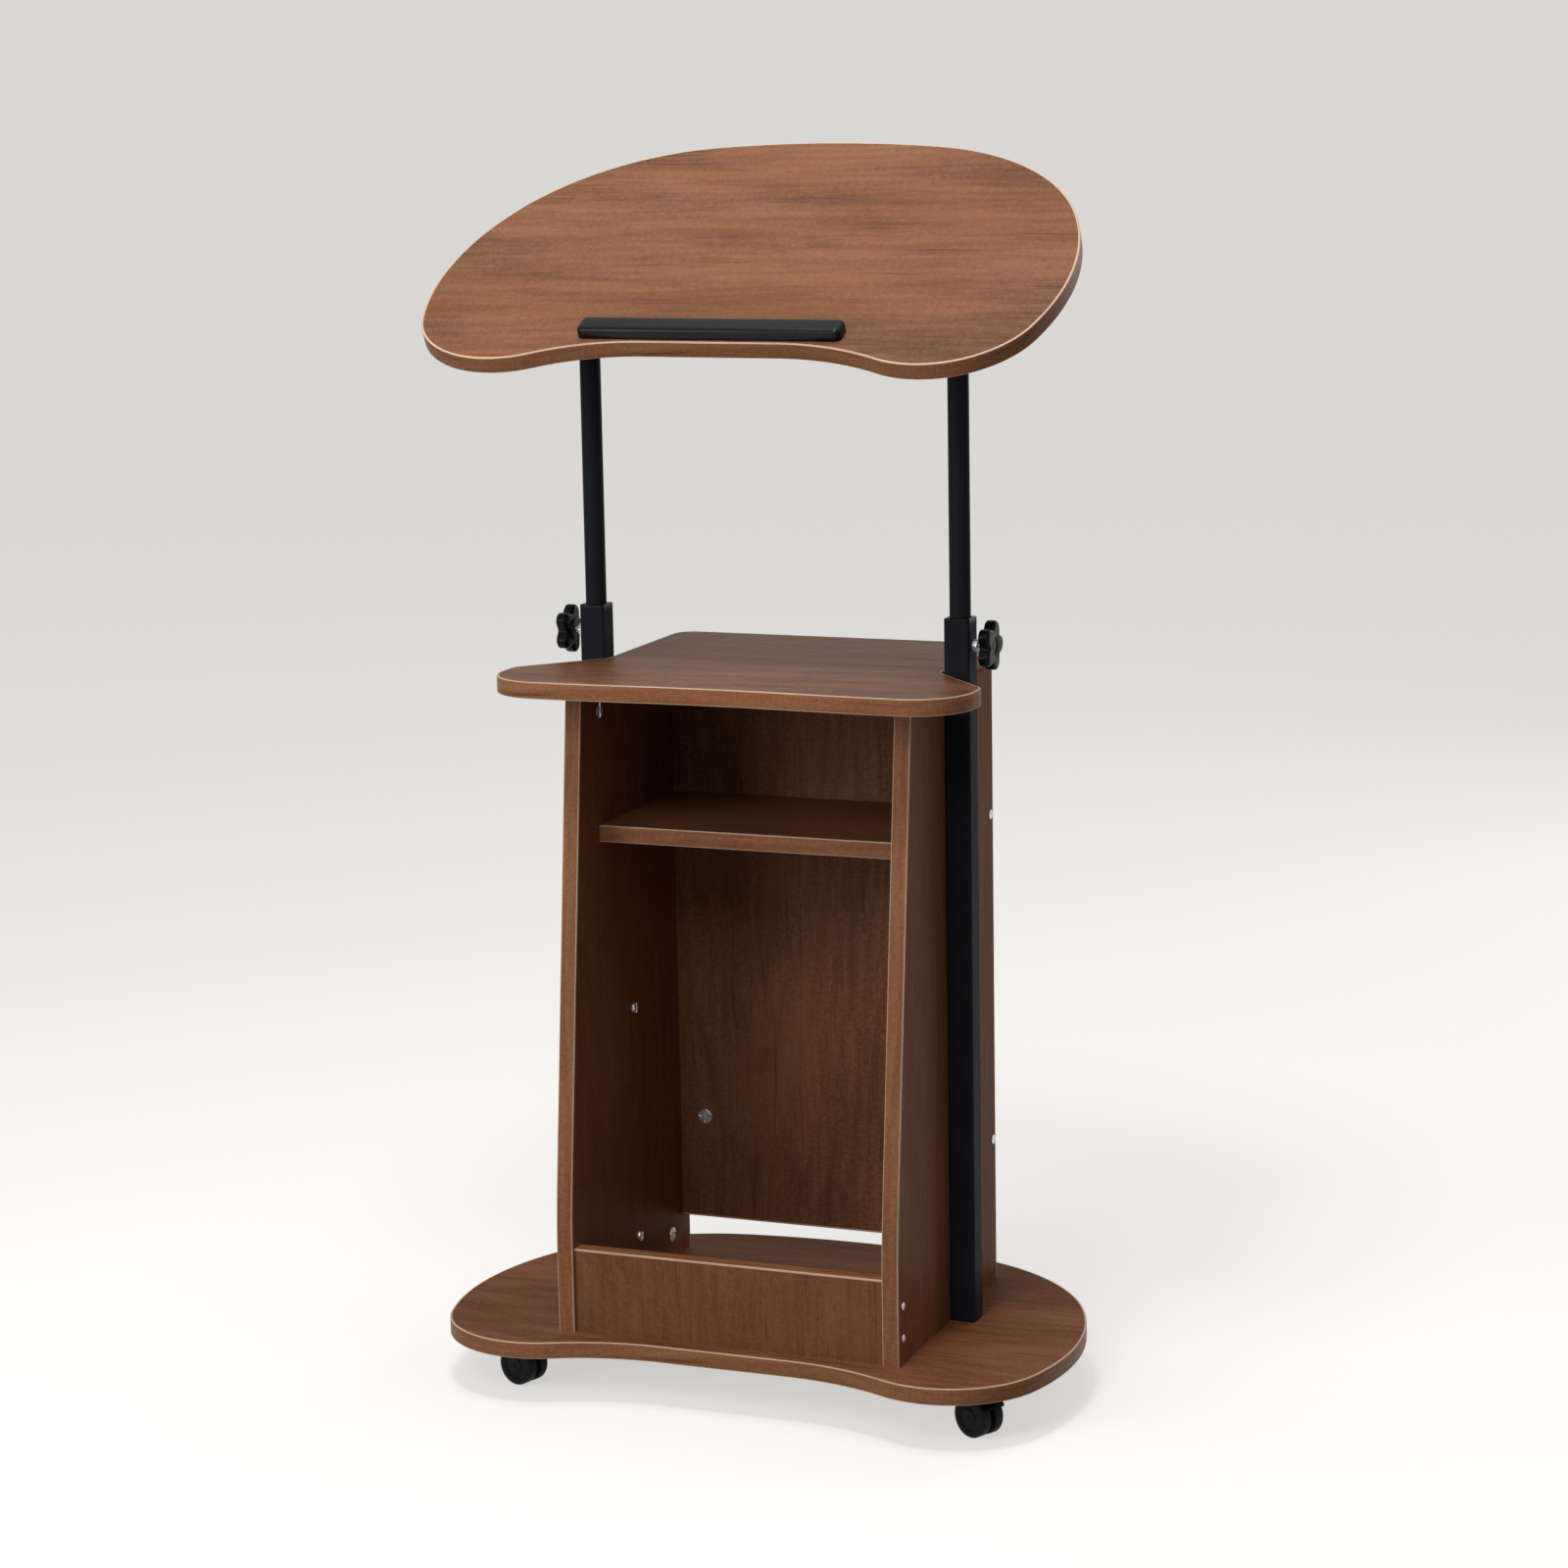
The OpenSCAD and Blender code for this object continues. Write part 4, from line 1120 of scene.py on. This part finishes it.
    def build(self) -> None:
        """Finishes the boards, and makes the bands and the fasteners."""
        for name, start in (("left", (60, 11, 0)), ("right", (310, 92, 0))):
            side = walnut(f"walnut_melamine_{name}_side", Lay.SIDE, start, specular=0.03)
            dress(side, f"side_panel_{name}")
        # The back panel's tones reach further than the usual ones, both ways, and are less red.
        tones = ("#603F2B", "#724C35", "#855A3E", "#976A4A")
        more = {"tones": tones, "cloudy": 1.15}
        dress(walnut("walnut_melamine_back", Lay.BACK, (140, 25, 0), **more), "back_panel")
        dress(walnut("walnut_melamine_kick", Lay.BACK, (700, 140, 0), cloudy=1.4), "kick_board")
        dress(walnut("walnut_melamine_inner_shelf", Lay.FLAT, (400, 210, 0)), "inner_shelf")
        dress(ZINC, "shelf_pins")
        self.bands()
        self.fasteners()


@dataclass
class MidShelf:
    """The winged shelf on the cabinet, cut round the posts."""

    under: float = 678.0
    width: float = 470.0
    depth: float = 335.0
    front: float = 161.0
    neck: float = 169.0
    wing: float = 48.0
    rear_radius: float = 20.0
    notch_radius: float = 14.0
    notch_from: float = -12.5
    tip_radius: float = 24.0
    front_radius: float = 55.0
    hollow: float = 6.0
    band: EdgeBand = EdgeBand()

    def outline(self) -> np.ndarray:
        """Draws the shelf.

        Returns:
            Its outline, from the middle of its rear edge.
        """
        rear, sweep = self.depth - self.front, 90 - self.wing
        angle, slope = math.radians(sweep), math.radians(self.wing)
        notch_y = self.notch_from + self.notch_radius * math.sin(angle)
        slant_x = self.neck + self.notch_radius * (1 - math.cos(angle))
        reach = self.width / 2 - self.tip_radius + self.tip_radius * math.sin(slope) - slant_x
        half_front = self.width / 2 - self.front_radius
        dip = 2 * math.degrees(math.atan(self.hollow / half_front))
        dip_radius = half_front / 2 / math.sin(math.radians(dip))
        half = [(0.0, rear), (self.neck - self.rear_radius, rear)]
        half += walk(half[-1], 0, [(self.rear_radius, 90)])
        half.append((self.neck, notch_y))
        slant = (0, reach / math.cos(slope))
        half += walk(half[-1], -90, [(self.notch_radius, -sweep), slant, (self.tip_radius, sweep)])
        half.append((self.width / 2, self.front_radius - self.front))
        half += walk(half[-1], -90, [(self.front_radius, 90)])
        half += walk((half_front, -self.front), 180, [(dip_radius, dip), (dip_radius, -dip)])
        return both_halves(half)

    def build(self) -> None:
        """Finishes the board and lays its edge band."""
        # The boldest clouds and the widest tones of all the boards, and a little more shine.
        tones = ("#5C3A26", "#774E34", "#8A5C3F", "#A47150")
        more = {"tones": tones, "cloudy": 1.5, "fine": 0.9, "specular": 0.1}
        dress(walnut("walnut_melamine_mid_shelf", Lay.FLAT, (900, 300, 0), **more), "mid_shelf")
        shape = self.band.lay_round(Shape(), self.outline(), self.under)
        shape.piece("mid_shelf_band", "root", "edge_band", (BAND_PRINT, PALE_CORE_AND_HIGHLIGHT), ["mid_shelf_edge_band"])


def squared(half: float, corner: float, z: float) -> np.ndarray:
    """Draws a square ring about Z.

    Args:
        half: Its half width.
        corner: The radius of its corners: the half width for a round ring.
        z: Its height.

    Returns:
        Its points.
    """
    # The angles of a quarter's points, which lie closer together at the corner.
    quarter = [*np.arange(0, 37, 6), 38, 39.5, 41, 43, 45, 47, 49, 50.5, 52, *np.arange(54, 89, 6)]
    centre = half - corner
    found = []
    for a in np.radians([q + 90 * k for k in range(4) for q in quarter]):
        x, y = abs(math.cos(a)), abs(math.sin(a))
        reach = half / max(x, y)
        if min(x, y) * reach > centre:
            dot = centre * (x + y)
            reach = dot + math.sqrt(max(0.0, dot * dot - 2 * centre**2 + corner**2))
        found.append((reach * math.cos(a), reach * math.sin(a), z))
    return np.array(found)


@dataclass
class Posts:
    """The two square posts beside the cabinet, with their collars, nuts, bolts and hand knobs."""

    x: float = 185.0
    y: float = 4.0
    foot: float = 64.0
    length: float = 677.0
    side: float = 25.0
    wall: float = 1.5
    corner: float = 2.5
    rim: float = 4.0
    sleeve: float = 40.0
    bore: float = 10.05
    knob_below: float = 26.0
    knob_gap: float = 4.5
    knob_seat: float = 6.5
    bolts: tuple[float, float] = (49.0, 282.0)
    panel: float = 156.5
    rim_corner: float = 2.5
    stud_in: float = 10.3
    stud_out: float = 11.5
    nut: HexNut = HexNut(11, 5.5, 6)
    bolt: Fastener = Fastener(11, 3, 5.9, 25.5, flat=0.5)
    knob: StarKnob = StarKnob(48, 11, 20, 1.8)

    def tube(self) -> list[np.ndarray]:
        """Draws a post.

        Returns:
            Its rings, with z = 0 at its foot.
        """
        out, inside, h = self.side / 2, self.side / 2 - self.wall, self.length
        rings = [squared(out, self.corner, 0), squared(out, self.corner, h)]
        rings += [squared(inside, 0.8, h), squared(inside, 0.8, 0)]
        return rings

    def collar(self) -> list[np.ndarray]:
        """Draws a collar.

        Returns:
            Its rings, with z = 0 at the top of the post's tube.
        """
        out, inner, top, bore = self.side / 2, self.side / 2 - self.wall - 0.1, self.rim, self.bore
        corner, low = self.rim_corner, -self.sleeve
        # The sleeve in the tube, and the rim on it with a rounded edge.
        rings = [squared(inner, 1.2, low), squared(inner, 1.2, 0), squared(out, corner, 0)]
        rings += [squared(out, corner, top - 1)]
        for k in (30, 60, 90):
            a = math.radians(k)
            inset = 1 - math.cos(a)
            rings.append(squared(out - inset, corner - 0.6 * inset, top - 1 + math.sin(a)))
        # The bore for the round leg, with a lead-in.
        rings += [squared(bore + 0.6, bore + 0.6, top), squared(bore, bore, top - 0.6)]
        return rings + [squared(bore, bore, low)]

    def build(self) -> None:
        """Makes both posts and what they carry."""
        top = self.foot + self.length
        knob_z = top + self.rim - self.knob_below
        nuts = Shape()
        for name, side in (("right", Matrix.Identity(4)), ("left", MIRROR)):
            place = side @ move(self.x, self.y, 0)
            tube = Shape().loft(self.tube(), place @ move(z=self.foot), closed=True)
            tube.piece(f"post_tube_{name}", "root", "black_steel", (POWDER_COAT,), [f"post_{name}"])
            collar = Shape().loft(self.collar(), place @ move(z=top), closed=True)
            collar.piece(f"post_collar_{name}", "root", "black_plastic", (MOULDED,), [f"collar_{name}"])
            face = place @ move(self.side / 2, 0, knob_z) @ turn("Y", 90)
            self.nut.make(nuts, face)
            gap = face @ move(z=self.knob_gap)
            body = f"knob_{name}"
            knob = self.knob.make(Shape(), gap @ move(z=self.knob_seat))
            knob.piece(f"hand_knob_{name}", body, "black_plastic", (MOULDED,), [f"star_knob_{name}"])
            low = self.stud_in - self.side / 2 - self.knob_gap
            stud = Stud().make(Shape(), low, self.stud_out, gap)
            stud.piece(f"hand_knob_stud_{name}", body, "zinc", (ZINC,), [f"knob_stud_{name}"])
        nuts.piece("post_knob_nuts", "root", "zinc", (ZINC,), ["knob_nuts"])
        dress(ZINC, "post_nuts")
        bolts = Shape()
        for z in self.bolts:
            for at in sides(move(self.panel, self.y, self.foot + z) @ turn("Y", 90)):
                self.bolt.make(bolts, at)
        bolts.piece("post_bolt_heads", "root", "zinc", (ZINC,), ["post_bolts"])


@dataclass
class LiftFrame:
    """The bent tube that slides in the posts and carries the desk."""

    x: float = 185.0
    y: float = 4.0
    low: float = 604.0
    bar: float = 1037.0
    bend: float = 45.0
    radius: float = 10.0
    wall: float = 1.5
    bend_steps: int = 18
    points: int = 40

    def build(self) -> None:
        """Sweeps the tube, and finishes the glides."""
        rise, reach = self.bar - self.bend, self.x - self.bend
        path = [(-self.x, self.low), (-self.x, rise)]
        path += round_over((-self.x, rise), (-reach, rise), -90, self.bend_steps)[1:]
        path += round_over((reach, self.bar), (reach, rise), -90, self.bend_steps)
        path += [(self.x, self.low)]
        points = np.array(path)
        left = outward(points, False)
        left[0] = left[1] = (-1, 0)
        left[-1] = left[-2] = (1, 0)
        rings = []
        a = angles(self.points)
        # The outer face from end to end, then the inner face back.
        for radius, order in ((self.radius, 1), (self.radius - self.wall, -1)):
            for p, n in list(zip(points, left))[::order]:
                x, z = p[0] + radius * np.cos(a) * n[0], p[1] + radius * np.cos(a) * n[1]
                rings.append(np.stack([x, self.y + radius * np.sin(a), z], 1))
        tube = Shape().loft(rings, closed=True)
        tube.piece("lift_tube", "lift", "black_steel", (POWDER_COAT,), ["lift_frame"])
        dress(MOULDED, "leg_glides", bevel=0.5)


@dataclass
class Desk:
    """The tilting desk, its book stop and its clamping hinge. It is drawn flat about the cross bar."""

    y: float = 4.0
    bar: float = 1037.0
    tilt: float = 27.0
    drop: float = 32.0
    shift: float = 14.0
    board: float = 16.0
    stop: tuple[float, float, float] = (256.0, 23.0, 11.0)
    stop_corner: float = 6.0
    stop_crown: float = 4.2
    stop_setback: float = 4.0
    saddle_pitch: float = 220.0
    saddle: tuple[float, float, float] = (32.0, 62.0, 3.0)
    clamp: float = -26.05
    clamp_nut: float = 4.0
    clamp_seat: float = -4.3
    stud_in: float = -13.3
    stud_out: float = 11.5
    screw_edge: float = 7.0
    stop_screw: Fastener = Fastener(8, 2, 4, 21.5, flat=0.5)
    saddle_screw: Fastener = Fastener(8, 2, 4, 13.5, flat=0.5)
    nut: HexNut = HexNut(10, 5, 6)
    outline: BeanOutline = BeanOutline()
    band: EdgeBand = EdgeBand()
    knob: StarKnob = StarKnob(34, 11, 14, 11.35)

    @property
    def place(self) -> Matrix:
        """Where the flat drawing lies."""
        return move(0, self.y, self.bar) @ turn("X", self.tilt)

    @property
    def stop_y(self) -> float:
        """The middle of the book stop."""
        return self.shift + self.outline.half()[-1][1] + self.stop_setback + self.stop[1] / 2

    def book_stop(self) -> None:
        """Makes the book stop, a bar with round ends and softened edges."""
        length, depth, height = self.stop
        crown, corner = self.stop_crown, self.stop_corner
        # How far the outline is drawn in at each height, from the foot's small chamfer to the top.
        profile = [(0.4, 0.0), (0.0, 0.4)]
        for a in np.radians(np.linspace(0, 90, 9)):
            profile.append((crown * (1 - math.cos(a)), height - crown * (1 - math.sin(a))))
        profile.append((depth / 2 - 2, height))
        rings = []
        for inset, z in profile:
            half, wide, r = length / 2 - inset, depth / 2 - inset, max(corner - inset, 0.8)
            outline = []
            for x, y, start in ((1, 1, 0), (-1, 1, 90), (-1, -1, 180), (1, -1, 270)):
                a = math.radians(start)
                middle = (x * (half - r), y * (wide - r))
                first = (middle[0] + r * math.cos(a), middle[1] + r * math.sin(a))
                outline += round_over(first, middle, 90, 8)
            rings.append([(x, y, z) for x, y in outline])
        at = self.place @ move(0, self.stop_y, self.drop + self.board)
        shape = Shape().loft(rings, at)
        shape.piece("book_stop_bar", "desk", "black_plastic", (EXTRUDED,), ["book_stop"])
        screws = Shape()
        for at in sides(self.place @ move(length / 3, self.stop_y, self.drop)):
            self.stop_screw.make(screws, at)
        screws.piece("book_stop_screw_heads", "desk", "zinc", (ZINC,), ["book_stop_screws"])

    def hinge(self) -> None:
        """Finishes the saddles and straps, and makes their screws, nuts and knobs."""
        dress(POWDER_COAT, "hinge_saddles", "hinge_straps", bevel=0.5)
        dress(NYLON, "hinge_liners")
        screws, nuts = Shape(), Shape()
        wide, deep, thick = self.saddle
        half_wide, half_deep = wide / 2 - self.screw_edge, deep / 2 - self.screw_edge
        for side in (Matrix.Identity(4), MIRROR):
            middle = side @ self.place @ move(self.saddle_pitch / 2, 0, 0)
            for x in (-1, 1):
                for y in (-1, 1):
                    corner = move(x * half_wide, y * half_deep, self.drop - thick)
                    self.saddle_screw.make(screws, middle @ corner)
            self.nut.make(nuts, middle @ move(0, self.clamp, self.clamp_nut))
        screws.piece("saddle_screw_heads", "desk", "zinc", (ZINC,), ["saddle_screws"])
        nuts.piece("hinge_clamp_nuts", "desk", "zinc", (ZINC,), ["clamp_nuts"])
        for name, side in (("right", Matrix.Identity(4)), ("left", MIRROR)):
            seat = move(self.saddle_pitch / 2, self.clamp, self.clamp_seat)
            hub = side @ self.place @ seat @ turn("X", 180)
            body = f"tilt_knob_{name}"
            knob = self.knob.make(Shape(), hub @ move(z=self.knob.hub_length))
            knob.piece(f"tilt_hand_knob_{name}", body, "black_plastic", (MOULDED,), [f"tilt_knob_{name}"])
            stud = Stud().make(Shape(), self.stud_in, self.stud_out, hub)
            stud.piece(f"tilt_hand_knob_stud_{name}", body, "zinc", (ZINC,), [f"tilt_stud_{name}"])

    def build(self) -> None:
        """Finishes the desk and makes what it carries."""
        # The desk's print has calmer fibres than the cabinet's, and stronger veins.
        tones = ("#5E3E29", "#765038", "#865C42", "#9A6D50")
        more = {"tones": tones, "rings": 0.02, "cloudy": 1.1, "fine": 0.7, "veins": 0.7}
        dress(walnut("walnut_melamine_desk", Lay.DESK, (1300, 520, 0), **more), "desk_top")
        at = self.place @ move(0, self.shift, 0)
        shape = self.band.lay_round(Shape(), self.outline.points(), self.drop, at)
        shape.piece("desk_band", "desk", "edge_band", (BAND_PRINT, PALE_CORE_AND_HIGHLIGHT), ["desk_edge_band"])
        self.book_stop()
        self.hinge()


@dataclass
class Casters:
    """The four hooded twin-wheel casters."""

    places: dict[str, tuple[float, float, float]] = field(
        default_factory=lambda: {
            "front_left": (-233, -128, -18),
            "front_right": (233, -128, -28),
            "rear_left": (-205, 109, -20),
            "rear_right": (205, 109, -35),
        }
    )
    top: float = 48.0
    plate: float = 38.0
    plate_thick: float = 2.5
    screw_edge: float = 5.0
    wheel: float = 40.0
    wheel_width: float = 10.5
    web: float = 5.0
    gap: float = 0.5
    trail: float = 11.0
    arch: float = 22.4
    wall: float = 1.6
    skirt: float = 26.0
    boss: float = 10.0
    boss_low: float = 31.0
    boss_top: float = 45.2
    pin_low: float = 40.4
    pin_bore: float = 4.05
    axle_bore: float = 2.05
    hub: float = 7.0
    screw: Fastener = Fastener(7, 1.6, 3.5, 15, flat=0.5)

    def wheel_profile(self) -> list[tuple[float, float]]:
        """Draws a wheel.

        Returns:
            Its profile as radius and width, from the web outwards.
        """
        r, w, bore, hub = self.wheel / 2, self.wheel_width, self.axle_bore, self.hub
        # The inner face with its groove, and the tread's small inner and large outer round.
        profile = [(bore, 0), (hub, 0), (hub, 1.5), (r - 5, 1.5), (r - 4, 0)]
        profile += round_over((r - 0.8, 0), (r - 0.8, 0.8), 90, 3)
        profile += round_over((r, w - 2.6), (r - 2.6, w - 2.6), 90, 6)
        # The outer face: a fine groove, a raised ring, a shallow dish and the hub.
        profile += [(r - 4, w), (r - 4.4, w - 0.5), (r - 4.8, w - 0.1), (r - 6, w)]
        profile += [(r - 7.4, w - 1.3), (hub + 1.6, w - 1.5), (hub + 0.5, w - 0.8)]
        profile += [(hub, w - 0.1), (hub - 0.6, w), (bore + 0.5, w), (bore, w - 0.5)]
        return profile

    def hood(self, at: Matrix) -> Shape:
        """Makes a hood: the arch over the wheels, the web and the kingpin's boss.

        Args:
            at: Its caster's place.

        Returns:
            The mesh.
        """
        shape, axle = Shape(), at @ move(self.trail, 0, self.wheel / 2)
        r, w, half = self.arch, self.wall, self.wheel_width + self.gap + self.web / 2 + 1
        edge = [(r - w, half), (r - 0.8, half), (r - 0.3, half - 0.3), (r, half - 0.9)]
        edge += [(reach, -y) for reach, y in reversed(edge)]
        sweep = np.radians(np.linspace(self.skirt, 180 - self.skirt, 33))
        shape.loft([[(c * math.cos(a), y, c * math.sin(a)) for c, y in edge] for a in sweep], axle)
        web = [(8.0, a) for a in range(230, 311, 10)] + [(r - w / 2, a) for a in range(30, 151, 8)]
        faces = []
        side = self.web / 2
        for y, inset in ((-side, 0.4), (0.4 - side, 0.0), (side - 0.4, 0.0), (side, 0.4)):
            turns = [(c - inset, math.radians(a)) for c, a in web]
            faces.append([(c * math.cos(a), y, c * math.sin(a)) for c, a in turns])
        shape.loft(faces, axle)
        rings = []
        for reach in (0.5, 4.0, 7.0, self.boss):
            along = reach * np.cos(angles(48)) - self.trail
            over = self.wheel / 2 + np.sqrt((r - w / 2) ** 2 - along**2)
            rings.append(ring(reach, np.maximum(self.boss_low, over)))
        rings += [ring(self.boss, self.boss_top - 0.8), ring(self.boss - 0.8, self.boss_top)]
        rings += [ring(self.pin_bore, self.boss_top), ring(self.pin_bore, self.pin_low)]
        return shape.loft(rings, at)

    def build(self) -> None:
        """Makes the wheels, the hoods and the plates' screws, and finishes the axles and plates."""
        screws = Shape()
        half, under = self.plate / 2 - self.screw_edge, self.top - self.plate_thick
        for name, (x, y, heading) in self.places.items():
            for sx in (-1, 1):
                for sy in (-1, 1):
                    self.screw.make(screws, move(x + sx * half, y + sy * half, under))
            place = move(x, y, 0) @ turn("Z", heading) @ move(self.trail, 0, self.wheel / 2)
            for letter, side in (("a", -1), ("b", 1)):
                at = place @ move(0, side * (self.web / 2 + self.gap), 0) @ turn("X", -90 * side)
                wheel = Shape().revolve(self.wheel_profile(), at, closed=True)
                body, node = f"wheel_{name}_{letter}", f"caster_wheel_{name}_{letter}"
                wheel.piece(f"{body}_turned", body, "caster_tread", (TREAD_AND_SHADE,), [node])
            hood = self.hood(move(x, y, 0) @ turn("Z", heading))
            hood.piece(f"hood_{name}", f"caster_{name}", "black_plastic", (MOULDED,), [f"caster_hood_{name}"])
            dress(BLACKENED, f"caster_axle_{name}")
        screws.piece("caster_screw_heads", "root", "zinc", (ZINC,), ["caster_screws"])
        dress(POWDER_COAT, "caster_plates", bevel=0.4)
        dress(ZINC, "caster_kingpins")


# Studio


@dataclass
class Studio:
    """A pale paper floor, soft light from above, in front and behind, and the camera at the
    photograph's angle."""

    eye: tuple[float, float, float] = (1.36794, -3.47069, 1.28393)
    yaw: float = 0.373583
    pitch: float = 0.187090
    roll: float = -0.017755
    lens: float = 91.37
    sensor: float = 36.0
    far: float = 100.0
    floor_radius: float = 14.0
    floor_squares: int = 24
    ambient: float = STUDIO_AMBIENT

    def floor(self) -> None:
        """Lays the floor."""
        mesh = bpy.data.meshes.new("studio_floor")
        edit = bmesh.new()
        squares = self.floor_squares
        bmesh.ops.create_grid(edit, x_segments=squares, y_segments=squares, size=self.floor_radius)
        edit.to_mesh(mesh)
        edit.free()
        floor = bpy.data.objects.new("studio_floor", mesh)
        bpy.context.scene.collection.objects.link(floor)
        mesh.materials.append(PAPER.material())
        LOG.info("%s: stage", floor.name)

    def world(self) -> None:
        """Lights the object evenly, and shows pale paper wherever the background is seen."""
        world = bpy.data.worlds.new("studio")
        world.use_nodes = True
        tree = world.node_tree
        tree.nodes.clear()
        light = add(tree, "Background", {"Color": (1.0, 1.0, 1.0, 1.0), "Strength": self.ambient})
        pale = add(tree, "Background", {"Color": PAPER.far(), "Strength": 1.0})
        mix = add(tree, "MixShader", {0: seen(tree), 1: light.outputs[0], 2: pale.outputs[0]})
        add(tree, "OutputWorld", {"Surface": mix.outputs[0]})
        bpy.context.scene.world = world

    def softbox(
        self, name: str, power: float, size: float, at: Sequence[float], aim: float
    ) -> None:
        """Adds a square soft lamp.

        Args:
            name: Its name.
            power: Its power, in watts.
            size: Its side, in metres.
            at: Where it hangs, in metres.
            aim: The height over the middle of the floor that it faces, in metres.
        """
        data = bpy.data.lights.new(name, "AREA")
        data.energy, data.size = power, size
        lamp = bpy.data.objects.new(name, data)
        lamp.location = at
        ahead = Vector((0, 0, aim)) - Vector(at)
        lamp.rotation_euler = ahead.to_track_quat("-Z", "Y").to_euler()
        lamp.visible_camera = False
        bpy.context.scene.collection.objects.link(lamp)

    def camera(self) -> None:
        """Places the camera where the photograph was taken from."""
        cy, sy = math.cos(self.yaw), math.sin(self.yaw)
        cp, sp = math.cos(self.pitch), math.sin(self.pitch)
        ahead = np.array([-sy * cp, cy * cp, -sp])
        level = np.array([cy, sy, 0.0])
        upright = np.cross(level, ahead)
        cr, sr = math.cos(self.roll), math.sin(self.roll)
        across, up = cr * level + sr * upright, -sr * level + cr * upright
        data = bpy.data.cameras.new("camera")
        data.lens, data.sensor_width, data.clip_end = self.lens, self.sensor, self.far
        camera = bpy.data.objects.new("camera", data)
        rows = np.stack([across, up, -ahead, self.eye], 1).tolist()
        camera.matrix_world = Matrix(rows + [[0.0, 0.0, 0.0, 1.0]])
        bpy.context.scene.collection.objects.link(camera)
        bpy.context.scene.camera = camera

    def build(self) -> None:
        """Sets up the floor, the light and the camera."""
        self.floor()
        self.world()
        self.softbox("key", 16.0, 0.4, (0.1, -0.9, 2.6), 0.9)
        self.softbox("overhead", 12.0, 0.9, (0.0, 0.0, 2.7), 0.9)
        self.softbox("front_high", 13.0, 0.9, (0.0, -2.4, 2.2), 0.8)
        self.softbox("front_fill", 26.0, 1.2, (-1.6, -2.8, 1.3), 0.8)
        self.softbox("rear_fill", 16.0, 1.2, (1.5, 2.9, 1.5), 0.6)
        self.camera()
        bpy.context.scene.view_settings.view_transform = "Standard"


def main() -> None:
    """Builds the lectern's assemblies in order, and the studio round them."""
    logging.basicConfig(level=logging.INFO, format="%(name)s: %(message)s")
    for assembly in (Studio(), Casters(), Base(), Cabinet(), MidShelf(), Posts(), LiftFrame(), Desk()):
        assembly.build()
        LOG.info("%s is built", type(assembly).__name__)


if __name__ == "__main__":
    main()
